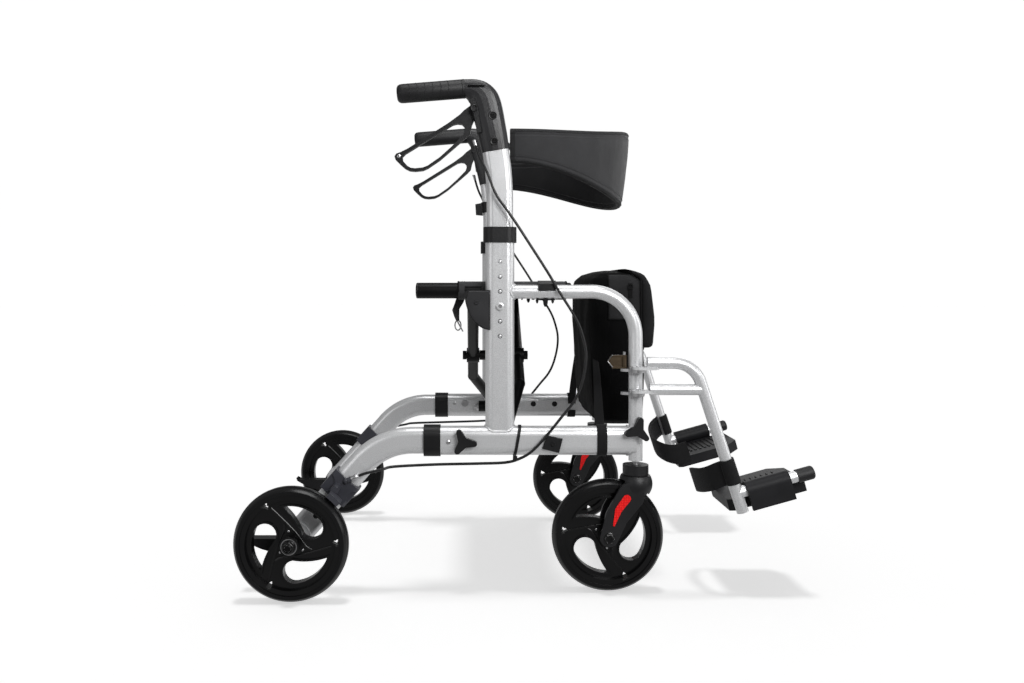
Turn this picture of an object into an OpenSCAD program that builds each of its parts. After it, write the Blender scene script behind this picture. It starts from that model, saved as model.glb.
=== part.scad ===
// Folding rollator that turns into a transport chair.
// Two tubular side frames each stand on a large rear wheel and a front caster. A cross
// brace under the sling seat joins them, so the chair folds flat sideways.
// Millimetres, X forward, Y to the left, Z up. The origin is on the floor under the middle.
// Each sub-part is drawn for the right side, at negative Y, and mirrored for the left.

/* [Wheels] */
// Distance from the rear axles to the caster axles
wheelbase = 556; // [520:1:600]
// Distance between the middle planes of the rear wheels
rear_track = 600; // [590:1:660]
// Diameter of all four tyres
wheel_d = 200; // [196:1:206]
// Width of the tyres
tyre_w = 32; // [28:1:34]
// Depth of the tyres above their rims
tyre_depth = 13; // [11:1:16]
// Distance that a caster axle trails its stem
caster_trail = 51; // [46:1:56]
// Diameter of the rear axles
axle_d = 12; // [10:1:14]
// Diameter of the caster stems
stem_d = 12; // [10:1:14]

/* [Side frames] */
// Distance between the middle planes of the two side frames
frame_width = 484; // [470:1:520]
// Distance from the upright to the front tube
front_reach = 244; // [236:1:270]
// Distance that the side rail reaches behind the upright
rail_rear = 134; // [120:1:140]
// Height of the side rail's middle
rail_z = 269; // [262:1:276]
// Height of the side rail's oval section
rail_h = 52; // [48:1:54]
// Width of the side rail's oval section
rail_w = 32; // [30:1:34]
// Length of the upright's oval section, along X
upright_w = 52; // [48:1:54]
// Width of the upright's oval section, along Y
upright_t = 28; // [26:1:30]
// Height of the upright's top
upright_top = 640; // [630:1:650]
// Wall of the frame tubes
tube_wall = 2; // [1.6:0.1:2.4]
// Height of the seat rail's middle
seat_rail_z = 536; // [530:1:545]
// Diameter of the seat rail and the front tube
seat_rail_d = 25; // [24:0.5:27]
// Bend radius of the seat rail into the front tube
seat_bend = 79; // [70:1:90]
// Slope of the rear leg below the horizontal, in degrees
leg_angle = 48; // [45:1:52]
// Bend radius of the rear leg
leg_bend = 122; // [100:1:130]

/* [Handles] */
// Height of the bolt that sets the handle height
bolt_z = 510; // [505:1:515]
// Distance between the height holes
hole_pitch = 26.6; // [24:0.2:28]
// Height where the handle tube starts to lean back
lean_z = 698; // [690:1:712]
// Radius of the handle tube's lean
lean_r = 550; // [500:10:600]
// Lean of the handle tube at its top, in degrees
lean_angle = 9.5; // [8:0.5:11]
// Diameter of the grip
grip_d = 34; // [30:1:36]
// Length of the grip
grip_len = 122; // [110:1:130]
// Rise of the grip towards the front, in degrees
grip_tilt = 4.5; // [3:0.5:6]

/* [Seat and brace] */
// Height of the lower brace pivots
pivot_z = 270; // [266:1:274]
// Height of the seat tubes' middle
seat_tube_z = 538; // [534:1:542]
// Diameter of the seat tubes
seat_tube_d = 29; // [27:1:30]
// Diameter of the brace legs
brace_d = 22; // [19:1:24]
// Length of the seat tubes behind the upright
seat_rear = 149; // [130:1:155]
// Length of the seat tubes ahead of the upright
seat_front = 128; // [118:1:130]
// Sag of the sling seat in its middle
seat_sag = 14; // [8:1:20]

/* [Backrest] */
// Distance that the backrest band bulges forward of its ends
back_bulge = 246; // [220:1:250]
// Height of the band in its middle
back_mid_h = 150; // [120:1:160]
// Height of the band at its ends
back_end_h = 58; // [50:1:62]
// Thickness of the padded band
back_t = 15; // [12:1:16]

/* [Bag] */
// Width of the bag
bag_w = 330; // [300:2:334]
// Width of the bag's webbing straps
strap_w = 18; // [16:1:24]

/* [Footrests] */
// Distance of the footrest hinge outboard of the front tube
hanger_offset = 26; // [25:0.5:30]
// Diameter of the footrest tubes
hanger_d = 21; // [20:0.5:22]
// Slope of the footrest's front tube from the vertical, in degrees
hanger_slope = 18; // [15:1:20]
// Rise of the footplate towards the front, in degrees
plate_tilt = 15.6; // [12:0.2:18]
// Width of the footplate, from its bar inwards
plate_w = 140; // [120:1:145]
// Length of the footplate along its bar
plate_len = 108; // [100:1:112]

/* [Hidden] */
$fn = 64;
alloy = "gainsboro";
steel = "silver";
black = [0.10, 0.10, 0.11];
dark = [0.19, 0.19, 0.21];
red = [0.85, 0.08, 0.08];

// Gap between pieces that move past each other, and round a pin in its bore
gap = 0.3;
pin_gap = 0.1;
// Slip of a tube inside a tube
slip = 0.2;

side_y = frame_width / 2;
wheel_r = wheel_d / 2;
stem_x = front_reach;
caster_x = stem_x - caster_trail;
rear_x = caster_x - wheelbase;
rear_y = rear_track / 2;

// Rear leg: the bend starts where the slope after it meets the rear axle
leg_h = rail_h - 2 * tube_wall - 2 * slip;
leg_w = rail_w - 2 * tube_wall - 2 * slip;
leg_drop_z = rail_z - leg_bend + leg_bend * cos(leg_angle);
leg_run = (leg_drop_z - wheel_r) / sin(leg_angle);
leg_bend_x = rear_x + leg_bend * sin(leg_angle) + leg_run * cos(leg_angle);
leg_drop_x = leg_bend_x - leg_bend * sin(leg_angle);
leg_insert = 95;
leg_end_d = leg_h + 3;
leg_end_w = leg_w + 2;

// Wheel parts
hub_w = 44;
hub_r = 17;
bearing_d = 28;
bearing_w = 8;
crown_r = 22;
window_r = 67;
window_end_r = 20;
window_end_at = 47;
window_end_angle = 39;
window_tip_angle = 101;
window_curve_r = 120;
lip_w = 3;
web_t = 12;
lip_t = 19;
rim_r = wheel_r - tyre_depth;

// Caster fork
fork_gap = tyre_w + 6;
blade_t = 7;
fork_y = fork_gap / 2 + blade_t;
fork_clear = 4;
caster_axle_d = 10;
caster_hub_w = fork_gap - 2 * gap;
socket_z = 233;
cap_r = 23;
cap_z = 209;
cap_h = 17;
head_r = 30;
head_z = 192;
stem_top = 274;

// Handle tube and its plastic elbow
handle_w = upright_w - 2 * tube_wall - 2 * slip;
handle_t = upright_t - 2 * tube_wall - 2 * slip;
handle_bottom = 400;
handle_up = 80;
handle_down = 50;
bolt_d = 8;
lean_end = [-lean_r * (1 - cos(lean_angle)), lean_z + lean_r * sin(lean_angle)];
elbow_half_t = 16;
grip_front = lean_end + [-55.5, 112.2];
lever_pivot = lean_end + [-38.5, 74];
lever_pin_d = 6;
lever_t = 13;
back_pivot = lean_end + [8, 12];
back_pin_d = 10;

// Cross brace
sleeve_d = 25;
sleeve_len = 86;
pivot_x = 8;
pivot_d = 10;
pivot_y = side_y - rail_w / 2 - sleeve_d / 2 - 1.5;
seat_y = side_y - seat_rail_d / 2 - seat_tube_d / 2 - 5;
cross_z = (pivot_z + seat_tube_z) / 2;
leg_a_x = -48;
leg_b_x = 44;
knee_y = 80;
knee_z = cross_z - (cross_z - pivot_z) * knee_y / pivot_y;
cross_bolt_d = 12;
boss_r = 15;
boss_l = 26;
bracket_t = 4;

// Seat and backrest
sling_t = 2;
sling_rear = -75;
sling_front = seat_front - 6;
saddle_x = 84;
saddle_l = 31;
saddle_wall = 3;
back_y = side_y - 27;
back_root_x = back_pivot.x + 20;
back_root_z = back_pivot.y;

// Footrest
hanger_y = side_y + hanger_offset;
tab_t = 5;
lower_tab_z = 351.5;
upper_tab_z = 393;
hinge_pin_d = 8;
hinge_r = 11;
hanger_bend = 50;
hanger_bend_x = stem_x + 63;
hanger_top_z = upper_tab_z + 2 * tab_t + gap + hanger_d / 2 - 3.5;
hanger_low_z = lower_tab_z + tab_t + gap + 6.5;
hanger_drop = [hanger_bend_x + hanger_bend * cos(hanger_slope),
               hanger_top_z - hanger_bend + hanger_bend * sin(hanger_slope)];
bar_z = 180;
foot_z = 147;
bar_x = slope_x(bar_z);
bar_d = hanger_d - 1;
bar_len = 137;
cap_len = 31;
cap_wall = 2;
cap_round = 5;
cap_d = bar_d + 2 * cap_wall;
shell_start = 17;
shell_len = 78;
shell_wall = 6;
deck_top = -12.5;
deck_t = 21;
deck_wall = 5;
rib_h = 2;
loop_low = 197;
loop_high = 240;
loop_t = 3;

// Latch lever, star knobs and brake
latch_x = stem_x - 20;
latch_pin_d = 5;
latch_z = upper_tab_z + tab_t + gap;
knob_r = 24;
knob_t = 13;
knob_stem_d = 8;
rear_knob_x = -65;
front_knob_z = 290;
shoe_gap = 3.6;
shoe_t = 9;
shoe_from = 40;
shoe_to = 53;
shoe_pivot_r = 116;
shoe_pivot_angle = 51;
shoe_pin_d = 8;
shoe_pivot = [rear_x, wheel_r] + polar(shoe_pivot_r, shoe_pivot_angle);
brake_at = 36;
brake_l = 42;
brake_h = 56;
brake_w = 40;

// Brake cable, from the lever bracket to the brake housing, as [ahead, outwards, up]
cable_d = 5;
cable_sides = 8;
cable_steps = 2;
cable_points = [
    [-46, 0, 808], [-42, 4, 794], [-35, 12, 773], [-23, 19, 748], [-8, 22, 710], [11, 24, 682],
    [29, 25, 656], [55, 24, 616], [84, 22, 571], [105, 20, 536], [136, 18, 486], [149, 17, 450],
    [153, 17, 423], [150, 18, 393], [141, 19, 361], [129, 20, 338], [110, 21, 315], [81, 22, 279],
    [56, 22, 253], [35, 20, 240], [10, 15, 232], [-40, 10, 229], [-114, 8, 227], [-189, 12, 224],
    [-209, 16, 220], [-241, 20, 213], [-262, 22, 205]
];
cable_route = [for (p = cable_points) [p.x, -side_y - p.y, p.z]];

// The chair's middle, between the rear tyres and the footrest caps
cap_tip_x = bar_x + (bar_len + 2 * cap_wall - cap_round) * cos(plate_tilt)
    + (cap_d / 2 - cap_round) * sin(plate_tilt) + cap_round;
mid_x = (rear_x - wheel_r + cap_tip_x) / 2;

SIDES = ["right", "left"];
PAIRED = [
    "side_rail", "upright", "seat_rail", "rear_leg", "frame_plastics", "frame_fasteners",
    "brake_cable", "brake_housing", "brake_shoe", "handle_tube", "handle_housing", "grip",
    "brake_lever", "rear_tyre", "rear_rim", "caster_fork", "caster_axle", "caster_reflectors",
    "caster_tyre", "caster_rim", "hanger", "footplate", "footrest_cap", "heel_loop",
    "latch_lever", "rear_knob", "front_knob"
];
SINGLE = [
    "cross_frame_front", "cross_frame_rear", "seat_sling", "backrest_pad", "backrest_hinges",
    "bag"
];

function polar(r, a) = r * [cos(a), sin(a)];
function unit(v) = v / norm(v);
function power(v, e) = sign(v) * pow(abs(v), e);

// X of the footrest's sloped tube at a height
function slope_x(z) = hanger_drop.x + (hanger_drop.y - z) * tan(hanger_slope);

// Points of a smooth curve through a route, a few steps to each stretch
function curve(route, steps) = [
    for (i = [0 : len(route) - 2])
        for (k = [0 : steps - (i == len(route) - 2 ? 0 : 1)])
            let (a = route[max(i - 1, 0)], b = route[i], c = route[i + 1])
            let (d = route[min(i + 2, len(route) - 1)], t = k / steps)
            (2 * b + (c - a) * t + (2 * a - 5 * b + 4 * c - d) * t * t
                + (3 * b - a - 3 * c + d) * t * t * t) / 2
];

// Ring of points round each point of a path that stays near the XZ plane
function tube_rings(path, r, sides) = [
    for (i = [0 : len(path) - 1])
        let (t = unit(path[min(i + 1, len(path) - 1)] - path[max(i - 1, 0)]))
        let (n = unit(cross(t, [0, 1, 0])), b = cross(t, n))
        [for (k = [0 : sides - 1])
            path[i] + r * (cos(360 * k / sides) * n + sin(360 * k / sides) * b)]
];

// Rounded ring about c, reaching a along one way and b along the other
function soft_ring(c, a, b, sides, round) = [
    for (k = [0 : sides - 1])
        let (t = 360 * (k + 0.5) / sides)
        c + a * power(cos(t), round) + b * power(sin(t), round)
];

// Solid through rings of points, closed at both ends
module loft(rings) {
    n = len(rings[0]);
    last = len(rings) - 1;
    polyhedron(
        points = [for (ring = rings) each ring],
        faces = concat(
            [for (i = [1 : n - 2]) [0, i + 1, i]],
            [for (k = [0 : last - 1]) for (i = [0 : n - 1])
                each let (j = (i + 1) % n) [
                    [k * n + i, k * n + j, (k + 1) * n + i],
                    [k * n + j, (k + 1) * n + j, (k + 1) * n + i]
                ]],
            [for (i = [1 : n - 2]) [last * n, last * n + i, last * n + i + 1]]
        )
    );
}

// Oval outline, a wide and b high
module oval(a, b) {
    r = min(a, b) / 2;
    for (s = [-1, 1])
        translate(s * [max(a - b, 0), max(b - a, 0)] / 2)
            circle(r);
    square(a > b ? [a - b, b] : [a, b - a], center = true);
}

module oval_ring(a, b, wall) {
    difference() {
        oval(a, b);
        oval(a - 2 * wall, b - 2 * wall);
    }
}

module ring(d, wall) {
    difference() {
        circle(d = d);
        circle(d = d - 2 * wall);
    }
}

// Points round two circles and the straight sides between them
function link_points(p, q, rp, rq, steps) =
    let (a = atan2(q.y - p.y, q.x - p.x), t = acos((rp - rq) / norm(q - p)))
    concat(
        [for (k = [0 : steps]) p + polar(rp, a + t + (360 - 2 * t) * k / steps)],
        [for (k = [0 : steps]) q + polar(rq, a - t + 2 * t * k / steps)]
    );

// Straight-sided outline round two circles
module link(p, q, rp, rq) {
    a = atan2(q.y - p.y, q.x - p.x);
    t = acos((rp - rq) / norm(q - p));
    translate(p) circle(rp);
    translate(q) circle(rq);
    polygon([p + polar(rp, a + t), q + polar(rq, a + t), q + polar(rq, a - t), p + polar(rp, a - t)]);
}

// An outline in Y and Z, extruded along X
module along_x(x0, x1) {
    translate([x0, 0, 0])
        rotate([90, 0, 90])
            linear_extrude(x1 - x0) children();
}

// An outline in X and Z, extruded along Y
module along_y(y0, y1) {
    translate([0, y1, 0])
        rotate([90, 0, 0])
            linear_extrude(y1 - y0) children();
}

// An outline swept round a bend in the XZ plane, by angles from +X towards +Z
module bend(r, from, turn) {
    rotate([90, 0, 0])
        rotate([0, 0, from])
            rotate_extrude(angle = turn) translate([r, 0]) children();
}

// The same with straight runs before and after the bend
module bent_tube(r, from, turn, before, after) {
    rotate([90, 0, 0])
        rotate([0, 0, from]) {
            rotate_extrude(angle = turn) translate([r, 0]) children();
            translate([r, 0, 0])
                rotate([90, 0, 0])
                    linear_extrude(before) children();
            if (after > 0)
                rotate([0, 0, turn])
                    translate([r, after, 0])
                        rotate([90, 0, 0])
                            linear_extrude(after) children();
        }
}

module rod_y(d, y0, y1) {
    translate([0, y0, 0]) rotate([-90, 0, 0]) cylinder(d = d, h = y1 - y0);
}

module rod(p, q, d) {
    v = q - p;
    translate(p)
        rotate([0, acos(v.z / norm(v)), atan2(v.y, v.x)])
            cylinder(d = d, h = norm(v));
}

module on_side(side) {
    translate([-mid_x, 0, 0])
        mirror([0, side == "left" ? 1 : 0, 0])
            children();
}

module at_rail() {
    translate([0, -side_y, rail_z]) children();
}

// Side frame

module rail_outline() {
    translate([-side_y, rail_z]) oval(rail_w, rail_h);
}

module rear_knob_bore() {
    at_rail()
        translate([rear_knob_x, 0, 0])
            rod_y(knob_stem_d + 2 * gap, -rail_w, 0);
}

module front_knob_bore() {
    translate([stem_x, -side_y, front_knob_z])
        rod_y(knob_stem_d + 2 * gap, -seat_rail_d, 0);
}

module front_tube(d) {
    translate([stem_x, -side_y, socket_z])
        cylinder(d = d, h = seat_rail_z - seat_bend - socket_z);
}

module side_rail() {
    color(alloy)
        difference() {
            along_x(-rail_rear, stem_x)
                difference() {
                    rail_outline();
                    translate([-side_y, rail_z])
                        oval(rail_w - 2 * tube_wall, rail_h - 2 * tube_wall);
                }
            front_tube(seat_rail_d);
            rear_knob_bore();
            front_knob_bore();
        }
}

module upright_outline() {
    translate([0, -side_y]) oval(upright_w, upright_t);
}

module bolt_at(z, d, y0, y1) {
    translate([0, -side_y, z]) rod_y(d, y0, y1);
}

module upright() {
    color(alloy)
        difference() {
            translate([0, 0, rail_z])
                linear_extrude(upright_top - rail_z)
                    difference() {
                        upright_outline();
                        translate([0, -side_y])
                            oval(upright_w - 2 * tube_wall, upright_t - 2 * tube_wall);
                    }
            along_x(-upright_w, upright_w) rail_outline();
            bolt_at(bolt_z, bolt_d, -upright_t, upright_t);
            for (i = [-2, -1, 1, 2, 3])
                bolt_at(bolt_z + i * hole_pitch, bolt_d, -upright_t, 0);
        }
}

module seat_rail() {
    color(alloy)
        difference() {
            translate([stem_x - seat_bend, -side_y, seat_rail_z - seat_bend])
                bent_tube(seat_bend, 0, 90, seat_rail_z - seat_bend - socket_z, stem_x - seat_bend)
                    ring(seat_rail_d, tube_wall);
            translate([0, 0, rail_z]) linear_extrude(upright_top) upright_outline();
            front_knob_bore();
        }
}

// Runs children along the sloped end of the rear leg, at a distance from its bend
module on_leg(at) {
    translate([leg_drop_x, -side_y, leg_drop_z])
        rotate([0, -90 - leg_angle, 0])
            translate([0, 0, at])
                children();
}

// Bent oval leg with a plug welded in after its bend and a solid end for the axle
module rear_leg() {
    plug_l = 8;
    color(alloy)
        difference() {
            union() {
                translate([leg_bend_x, -side_y, rail_z - leg_bend])
                    bent_tube(leg_bend, 90, leg_angle, leg_insert - rail_rear - leg_bend_x, leg_run)
                        oval_ring(leg_h, leg_w, tube_wall);
                on_leg(-plug_l / 2) linear_extrude(plug_l) oval(leg_h + 2 * slip, leg_w + 2 * slip);
                translate([rear_x, -side_y, wheel_r]) rod_y(leg_end_d, -leg_end_w / 2, leg_end_w / 2);
            }
            translate([rear_x, -side_y, wheel_r]) rod_y(axle_d, -leg_w, leg_w);
            rear_knob_bore();
        }
}

// Plastic sleeve in the rail's mouth, collar on the upright, seat saddle, tube guard and pedal
module rail_sleeve() {
    lip = 2.5;
    sleeve_l = 30;
    difference() {
        along_x(-rail_rear - lip, -rail_rear + sleeve_l - lip)
            translate([-side_y, rail_z])
                oval(rail_w + 2 * lip, rail_h + 2 * lip);
        along_x(-rail_rear, stem_x) rail_outline();
        along_x(-2 * rail_rear, 0)
            translate([-side_y, rail_z])
                oval(leg_w + 2 * slip, leg_h + 2 * slip);
    }
}

module upright_collar() {
    collar_h = 28;
    below = 16;
    translate([0, -side_y, upright_top - below])
        difference() {
            linear_extrude(collar_h) oval(upright_w + 8, upright_t + 5);
            translate([0, 0, -1]) linear_extrude(below + 1) oval(upright_w, upright_t);
            linear_extrude(collar_h + 1) oval(handle_w + 2 * gap, handle_t + 2 * gap);
        }
}

module seat_saddle() {
    rail_out = seat_rail_d / 2 + saddle_wall;
    cradle = seat_tube_d / 2 + saddle_wall;
    top = seat_rail_z + 20;
    along_x(saddle_x - saddle_l / 2, saddle_x + saddle_l / 2)
        difference() {
            union() {
                polygon([
                    [-side_y - rail_out, seat_rail_z + 2], [-side_y - rail_out, top - 6],
                    [-side_y - rail_out + 6, top], [-side_y + 7, top], [-side_y + rail_out, seat_rail_z],
                    [-seat_y, seat_rail_z], [-seat_y, seat_tube_z - cradle], [-side_y, seat_tube_z - cradle],
                    [-side_y, seat_rail_z + 2]
                ]);
                intersection() {
                    translate([-seat_y, seat_tube_z]) circle(cradle);
                    translate([-seat_y - cradle, seat_tube_z - cradle]) square([2 * cradle, cradle]);
                }
            }
            translate([-side_y, seat_rail_z]) circle(d = seat_rail_d);
            translate([-seat_y, seat_tube_z]) circle(d = seat_tube_d + 4 * gap);
            translate([-seat_y - seat_tube_d / 2 - 2 * gap, seat_tube_z]) square(seat_tube_d + cradle);
        }
}

module tube_guard() {
    guard_w = 46;
    guard_h = 71;
    corner = 8;
    front_x = -18;
    lip = 3;
    top = seat_tube_z + 1;
    difference() {
        along_y(-side_y - upright_t / 2 - lip, -side_y - 2)
            intersection() {
                translate([front_x, top]) scale([guard_w / guard_h, 1]) circle(guard_h);
                translate([front_x - guard_w, top - guard_h]) square([guard_w, guard_h]);
            }
        linear_extrude(upright_top) upright_outline();
        along_y(-side_y - upright_t, -side_y)
            translate([front_x - guard_w, top - corner])
                difference() {
                    square(corner);
                    translate([corner, 0]) circle(corner);
                }
    }
}

// Foot pedal behind the rear axle, for tipping the chair over a kerb
module tip_pedal() {
    pedal_w = 24;
    difference() {
        translate([rear_x, 0, wheel_r])
            along_y(-side_y - pedal_w / 2, -side_y + pedal_w / 2)
                polygon([
                    [-98, -1], [-90, -5], [-15, -5], [0, -20], [0, -29], [-12, -34], [-37, -31],
                    [-64, -23], [-84, -14], [-96, -7]
                ]);
        translate([rear_x, -side_y, wheel_r]) rod_y(leg_end_d, -pedal_w, pedal_w);
    }
}

module frame_plastics() {
    color(dark) {
        rail_sleeve();
        upright_collar();
        seat_saddle();
        tube_guard();
        tip_pedal();
    }
}

// Steel pieces fixed to the side frame
module rear_axle() {
    hub_in = -rear_y + hub_w / 2;
    translate([rear_x, 0, wheel_r]) {
        difference() {
            union() {
                rod_y(axle_d, -rear_y - hub_w / 2 - 8, -side_y + leg_end_w / 2 + 8);
                rod_y(axle_d + 7, hub_in + gap, -side_y - leg_end_w / 2);
                translate([0, -rear_y - hub_w / 2 - gap, 0])
                    rotate([90, 0, 0])
                        cylinder(d = axle_d + 8, h = 6, $fn = 6);
                translate([0, -side_y + leg_end_w / 2, 0])
                    rotate([-90, 0, 0])
                        cylinder(d = axle_d + 8, h = 6, $fn = 6);
            }
        }
        for (y = [-rear_y - hub_w / 2, hub_in - bearing_w])
            difference() {
                rod_y(bearing_d, y, y + bearing_w);
                rod_y(axle_d, y - 1, y + bearing_w + 1);
            }
    }
}

module stem_bushes() {
    bush_h = 14;
    translate([stem_x, -side_y, 0])
        for (z = [socket_z, socket_z + bush_h + 8])
            translate([0, 0, z])
                difference() {
                    cylinder(d = seat_rail_d - 2 * tube_wall, h = bush_h);
                    translate([0, 0, -1]) cylinder(d = stem_d + 2 * pin_gap, h = bush_h + 2);
                }
}

module height_bolt() {
    head = 3;
    bolt_at(bolt_z, bolt_d, -upright_t / 2 - head, upright_t / 2 + head);
    bolt_at(bolt_z, bolt_d + 5, -upright_t / 2 - head, -upright_t / 2);
    bolt_at(bolt_z, bolt_d + 5, upright_t / 2, upright_t / 2 + head);
}

// Bracket ears on the rail's inner face and the bolt that the brace turns on
module brace_pivot() {
    half = sleeve_len / 2 + gap;
    ear_r = 10;
    inner_y = -side_y + rail_w / 2;
    for (x = [pivot_x - half - bracket_t, pivot_x + half])
        along_x(x, x + bracket_t)
            difference() {
                union() {
                    translate([-pivot_y, pivot_z]) circle(ear_r);
                    translate([inner_y, pivot_z - ear_r]) square([-pivot_y - inner_y, 2 * ear_r]);
                }
                rail_outline();
            }
    along_x(pivot_x - half - bracket_t - 5, pivot_x + half + bracket_t + 5)
        translate([-pivot_y, pivot_z])
            circle(d = pivot_d);
}

// Tab clamped round the front tube, with the pin that the footrest hangs on
module hinge_tab(z) {
    translate([0, 0, z]) {
        difference() {
            linear_extrude(tab_t) {
                link([stem_x, -side_y], [stem_x, -hanger_y], seat_rail_d / 2 + 4, hinge_r);
                link([stem_x, -side_y], [latch_x, -side_y], seat_rail_d / 2 + 4, 7);
            }
            translate([stem_x, -side_y, -1]) cylinder(d = seat_rail_d, h = tab_t + 2);
        }
        translate([stem_x, -hanger_y, 0]) cylinder(d = hinge_pin_d, h = 2 * tab_t + gap + 2);
    }
}

module frame_fasteners() {
    color(steel) {
        rear_axle();
        stem_bushes();
        height_bolt();
        brace_pivot();
        hinge_tab(lower_tab_z);
        hinge_tab(upper_tab_z);
        translate([latch_x, -side_y, upper_tab_z]) cylinder(d = latch_pin_d, h = tab_t + 30);
    }
}

// Brake

module brake_cable() {
    color(black)
        loft(tube_rings(curve(cable_route, cable_steps), cable_d / 2, cable_sides));
}

// Section of the brake's clamp across the leg
module brake_outline() {
    edge = 5;
    a = brake_h / 2;
    b = brake_w / 2;
    polygon([
        [-a, edge - b], [edge - a, -b], [a - edge, -b], [a, edge - b],
        [a, b - edge], [a - edge, b], [edge - a, b], [-a, b - edge]
    ]);
}

// Clamp on the rear leg with the shoe's pivot pin and the cable's ferrule
module brake_housing() {
    shoe_pin_end = -side_y - brake_w / 2 - 20;
    cable_end = cable_route[len(cable_route) - 1];
    cable_way = unit(cable_end - cable_route[len(cable_route) - 2]);
    ferrule = cable_end + 12 * cable_way;
    ferrule_d = 9;
    color(dark) {
        difference() {
            union() {
                on_leg(brake_at) linear_extrude(brake_l) brake_outline();
                translate([shoe_pivot.x, 0, shoe_pivot.y])
                    rod_y(shoe_pin_d + 10, -side_y - brake_w / 2, -side_y);
                rod(cable_end + gap * cable_way, ferrule, ferrule_d);
                translate(ferrule) sphere(d = ferrule_d + 1);
                rod(ferrule, [ferrule.x - 10, -side_y, ferrule.z - 12], ferrule_d);
            }
            on_leg(0) linear_extrude(leg_run) oval(leg_h, leg_w);
            on_leg(brake_at + brake_l) linear_extrude(leg_run) square(2 * brake_h, center = true);
            for (hollow = [[-311, 200, 17], [-259, 165, 15]])
                translate([hollow[0], -side_y - brake_w / 2, hollow[1]])
                    rod_y(2 * hollow[2], -brake_w, 3.5);
        }
        translate([shoe_pivot.x, 0, shoe_pivot.y])
            rod_y(shoe_pin_d, shoe_pin_end, -side_y - brake_w / 2 + 1);
    }
}

module brake_shoe() {
    boss_y = -side_y - brake_w / 2 - gap;
    color(black)
        difference() {
            union() {
                translate([rear_x, -rear_y, wheel_r])
                    bend(wheel_r + shoe_gap, shoe_from, shoe_to - shoe_from)
                        translate([0, 4 - tyre_w / 2])
                            square([shoe_t, tyre_w - 8]);
                translate([shoe_pivot.x, 0, shoe_pivot.y])
                    rod_y(shoe_pin_d + 6, -rear_y + tyre_w / 2 - 8, boss_y);
            }
            translate([shoe_pivot.x, 0, shoe_pivot.y])
                rod_y(shoe_pin_d + 2 * pin_gap, boss_y - 21, boss_y + 1);
        }
}

// Handle

module handle_tube() {
    slot_low = bolt_z - handle_up - bolt_d / 2 - gap;
    slot_high = bolt_z + handle_down + bolt_d / 2 + gap;
    color(alloy)
        difference() {
            translate([-lean_r, -side_y, lean_z])
                bent_tube(lean_r, 0, lean_angle, lean_z - handle_bottom, 0)
                    oval_ring(handle_w, handle_t, tube_wall);
            along_y(-side_y - upright_t, -side_y + upright_t)
                translate([0, (slot_low + slot_high) / 2])
                    oval(bolt_d + 2 * gap, slot_high - slot_low);
        }
}

// One section of the elbow, from its outer and inner edges seen from the side
function elbow_ring(outer, inner, half_t) =
    let (c = (outer + inner) / 2, a = (outer - inner) / 2)
    soft_ring([c.x, -side_y, c.y], [a.x, 0, a.y], [0, half_t, 0], 24, 0.8);

function elbow_rings() =
    let (e = lean_end, n = polar(handle_w / 2 + 1, lean_angle))
    let (up = polar(grip_d / 2 - 0.5, 90 + grip_tilt), t = elbow_half_t)
    [
        elbow_ring(e + n, e - n, t - 2),
        elbow_ring(e + [19.5, 39], e + [-32.5, 29], t),
        elbow_ring(e + [13.5, 73], e + [-42.5, 63], t),
        elbow_ring(e + [8.5, 93], e + [-46.5, 81], t),
        elbow_ring(e + [0.5, 109], e + [-48.5, 89], t),
        elbow_ring(e + [-15, 122.5], e + [-51, 93], t),
        elbow_ring(e + [-34, 128.5], e + [-53, 95], t),
        elbow_ring(grip_front + up, grip_front - up, t)
    ];

module handle_housing() {
    slot_t = lever_t + 2 * gap + 1;
    slot_r = 14;
    color(dark)
        difference() {
            loft(curve(elbow_rings(), 3));
            translate([lever_pivot.x, -side_y, lever_pivot.y]) {
                rod_y(2 * slot_r, -slot_t / 2, slot_t / 2);
                rod_y(lever_pin_d + 2 * pin_gap, -2 * elbow_half_t, 2 * elbow_half_t);
                translate([-4 * slot_r, -slot_t / 2, -4 * slot_r])
                    cube([4 * slot_r + 4, slot_t, 5 * slot_r]);
            }
            translate([back_pivot.x, -side_y, back_pivot.y])
                rod_y(back_pin_d + 2 * pin_gap, 6, 2 * elbow_half_t);
        }
}

module grip() {
    bands = 6;
    band_w = 3;
    flange = 2;
    color(black)
        translate([grip_front.x, -side_y, grip_front.y])
            rotate([0, -90 - grip_tilt, 0])
                rotate_extrude()
                    difference() {
                        union() {
                            square([grip_d / 2 - 1, grip_len - 8]);
                            square([grip_d / 2 + flange, 5]);
                            translate([0, 8]) square([grip_d / 2, grip_len - 24]);
                            intersection() {
                                translate([grip_d / 2 - 9, grip_len - 9]) circle(9);
                                square([grip_d, grip_len]);
                            }
                            translate([0, grip_len - 9]) square([grip_d / 2 - 9, 9]);
                        }
                        for (k = [0 : bands - 1])
                            translate([grip_d / 2 - 1, 16 + k * (grip_len - 40) / (bands - 1)])
                                square([2, band_w]);
                    }
}

// Loop lever seen from the side, relative to its pivot: its outer edge and its opening
lever_outer = [
    [-8, 6], [-18.4, -1.7], [-26, -9.5], [-47.2, -25], [-119.1, -70], [-132, -76.5], [-139.5, -79],
    [-143, -84], [-141, -90], [-132, -99], [-124, -106], [-116, -110], [-106, -111], [-92, -109.5],
    [-83, -105.5], [-61.6, -91], [-40, -72.5], [-14, -50], [-7, -42], [-4, -28], [4, -9]
];
lever_opening = [
    [-128.5, -85], [-123, -79.5], [-119.1, -77.2], [-47.2, -33], [-38, -27.5], [-30, -25.5],
    [-22, -26.5], [-17.5, -31], [-17, -38], [-19.5, -45], [-40, -66], [-61.6, -85.5], [-83.2, -100.5],
    [-92, -104], [-106, -105.5], [-114, -104.5], [-120, -101], [-128, -92]
];
lever_hub = 10;

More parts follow.
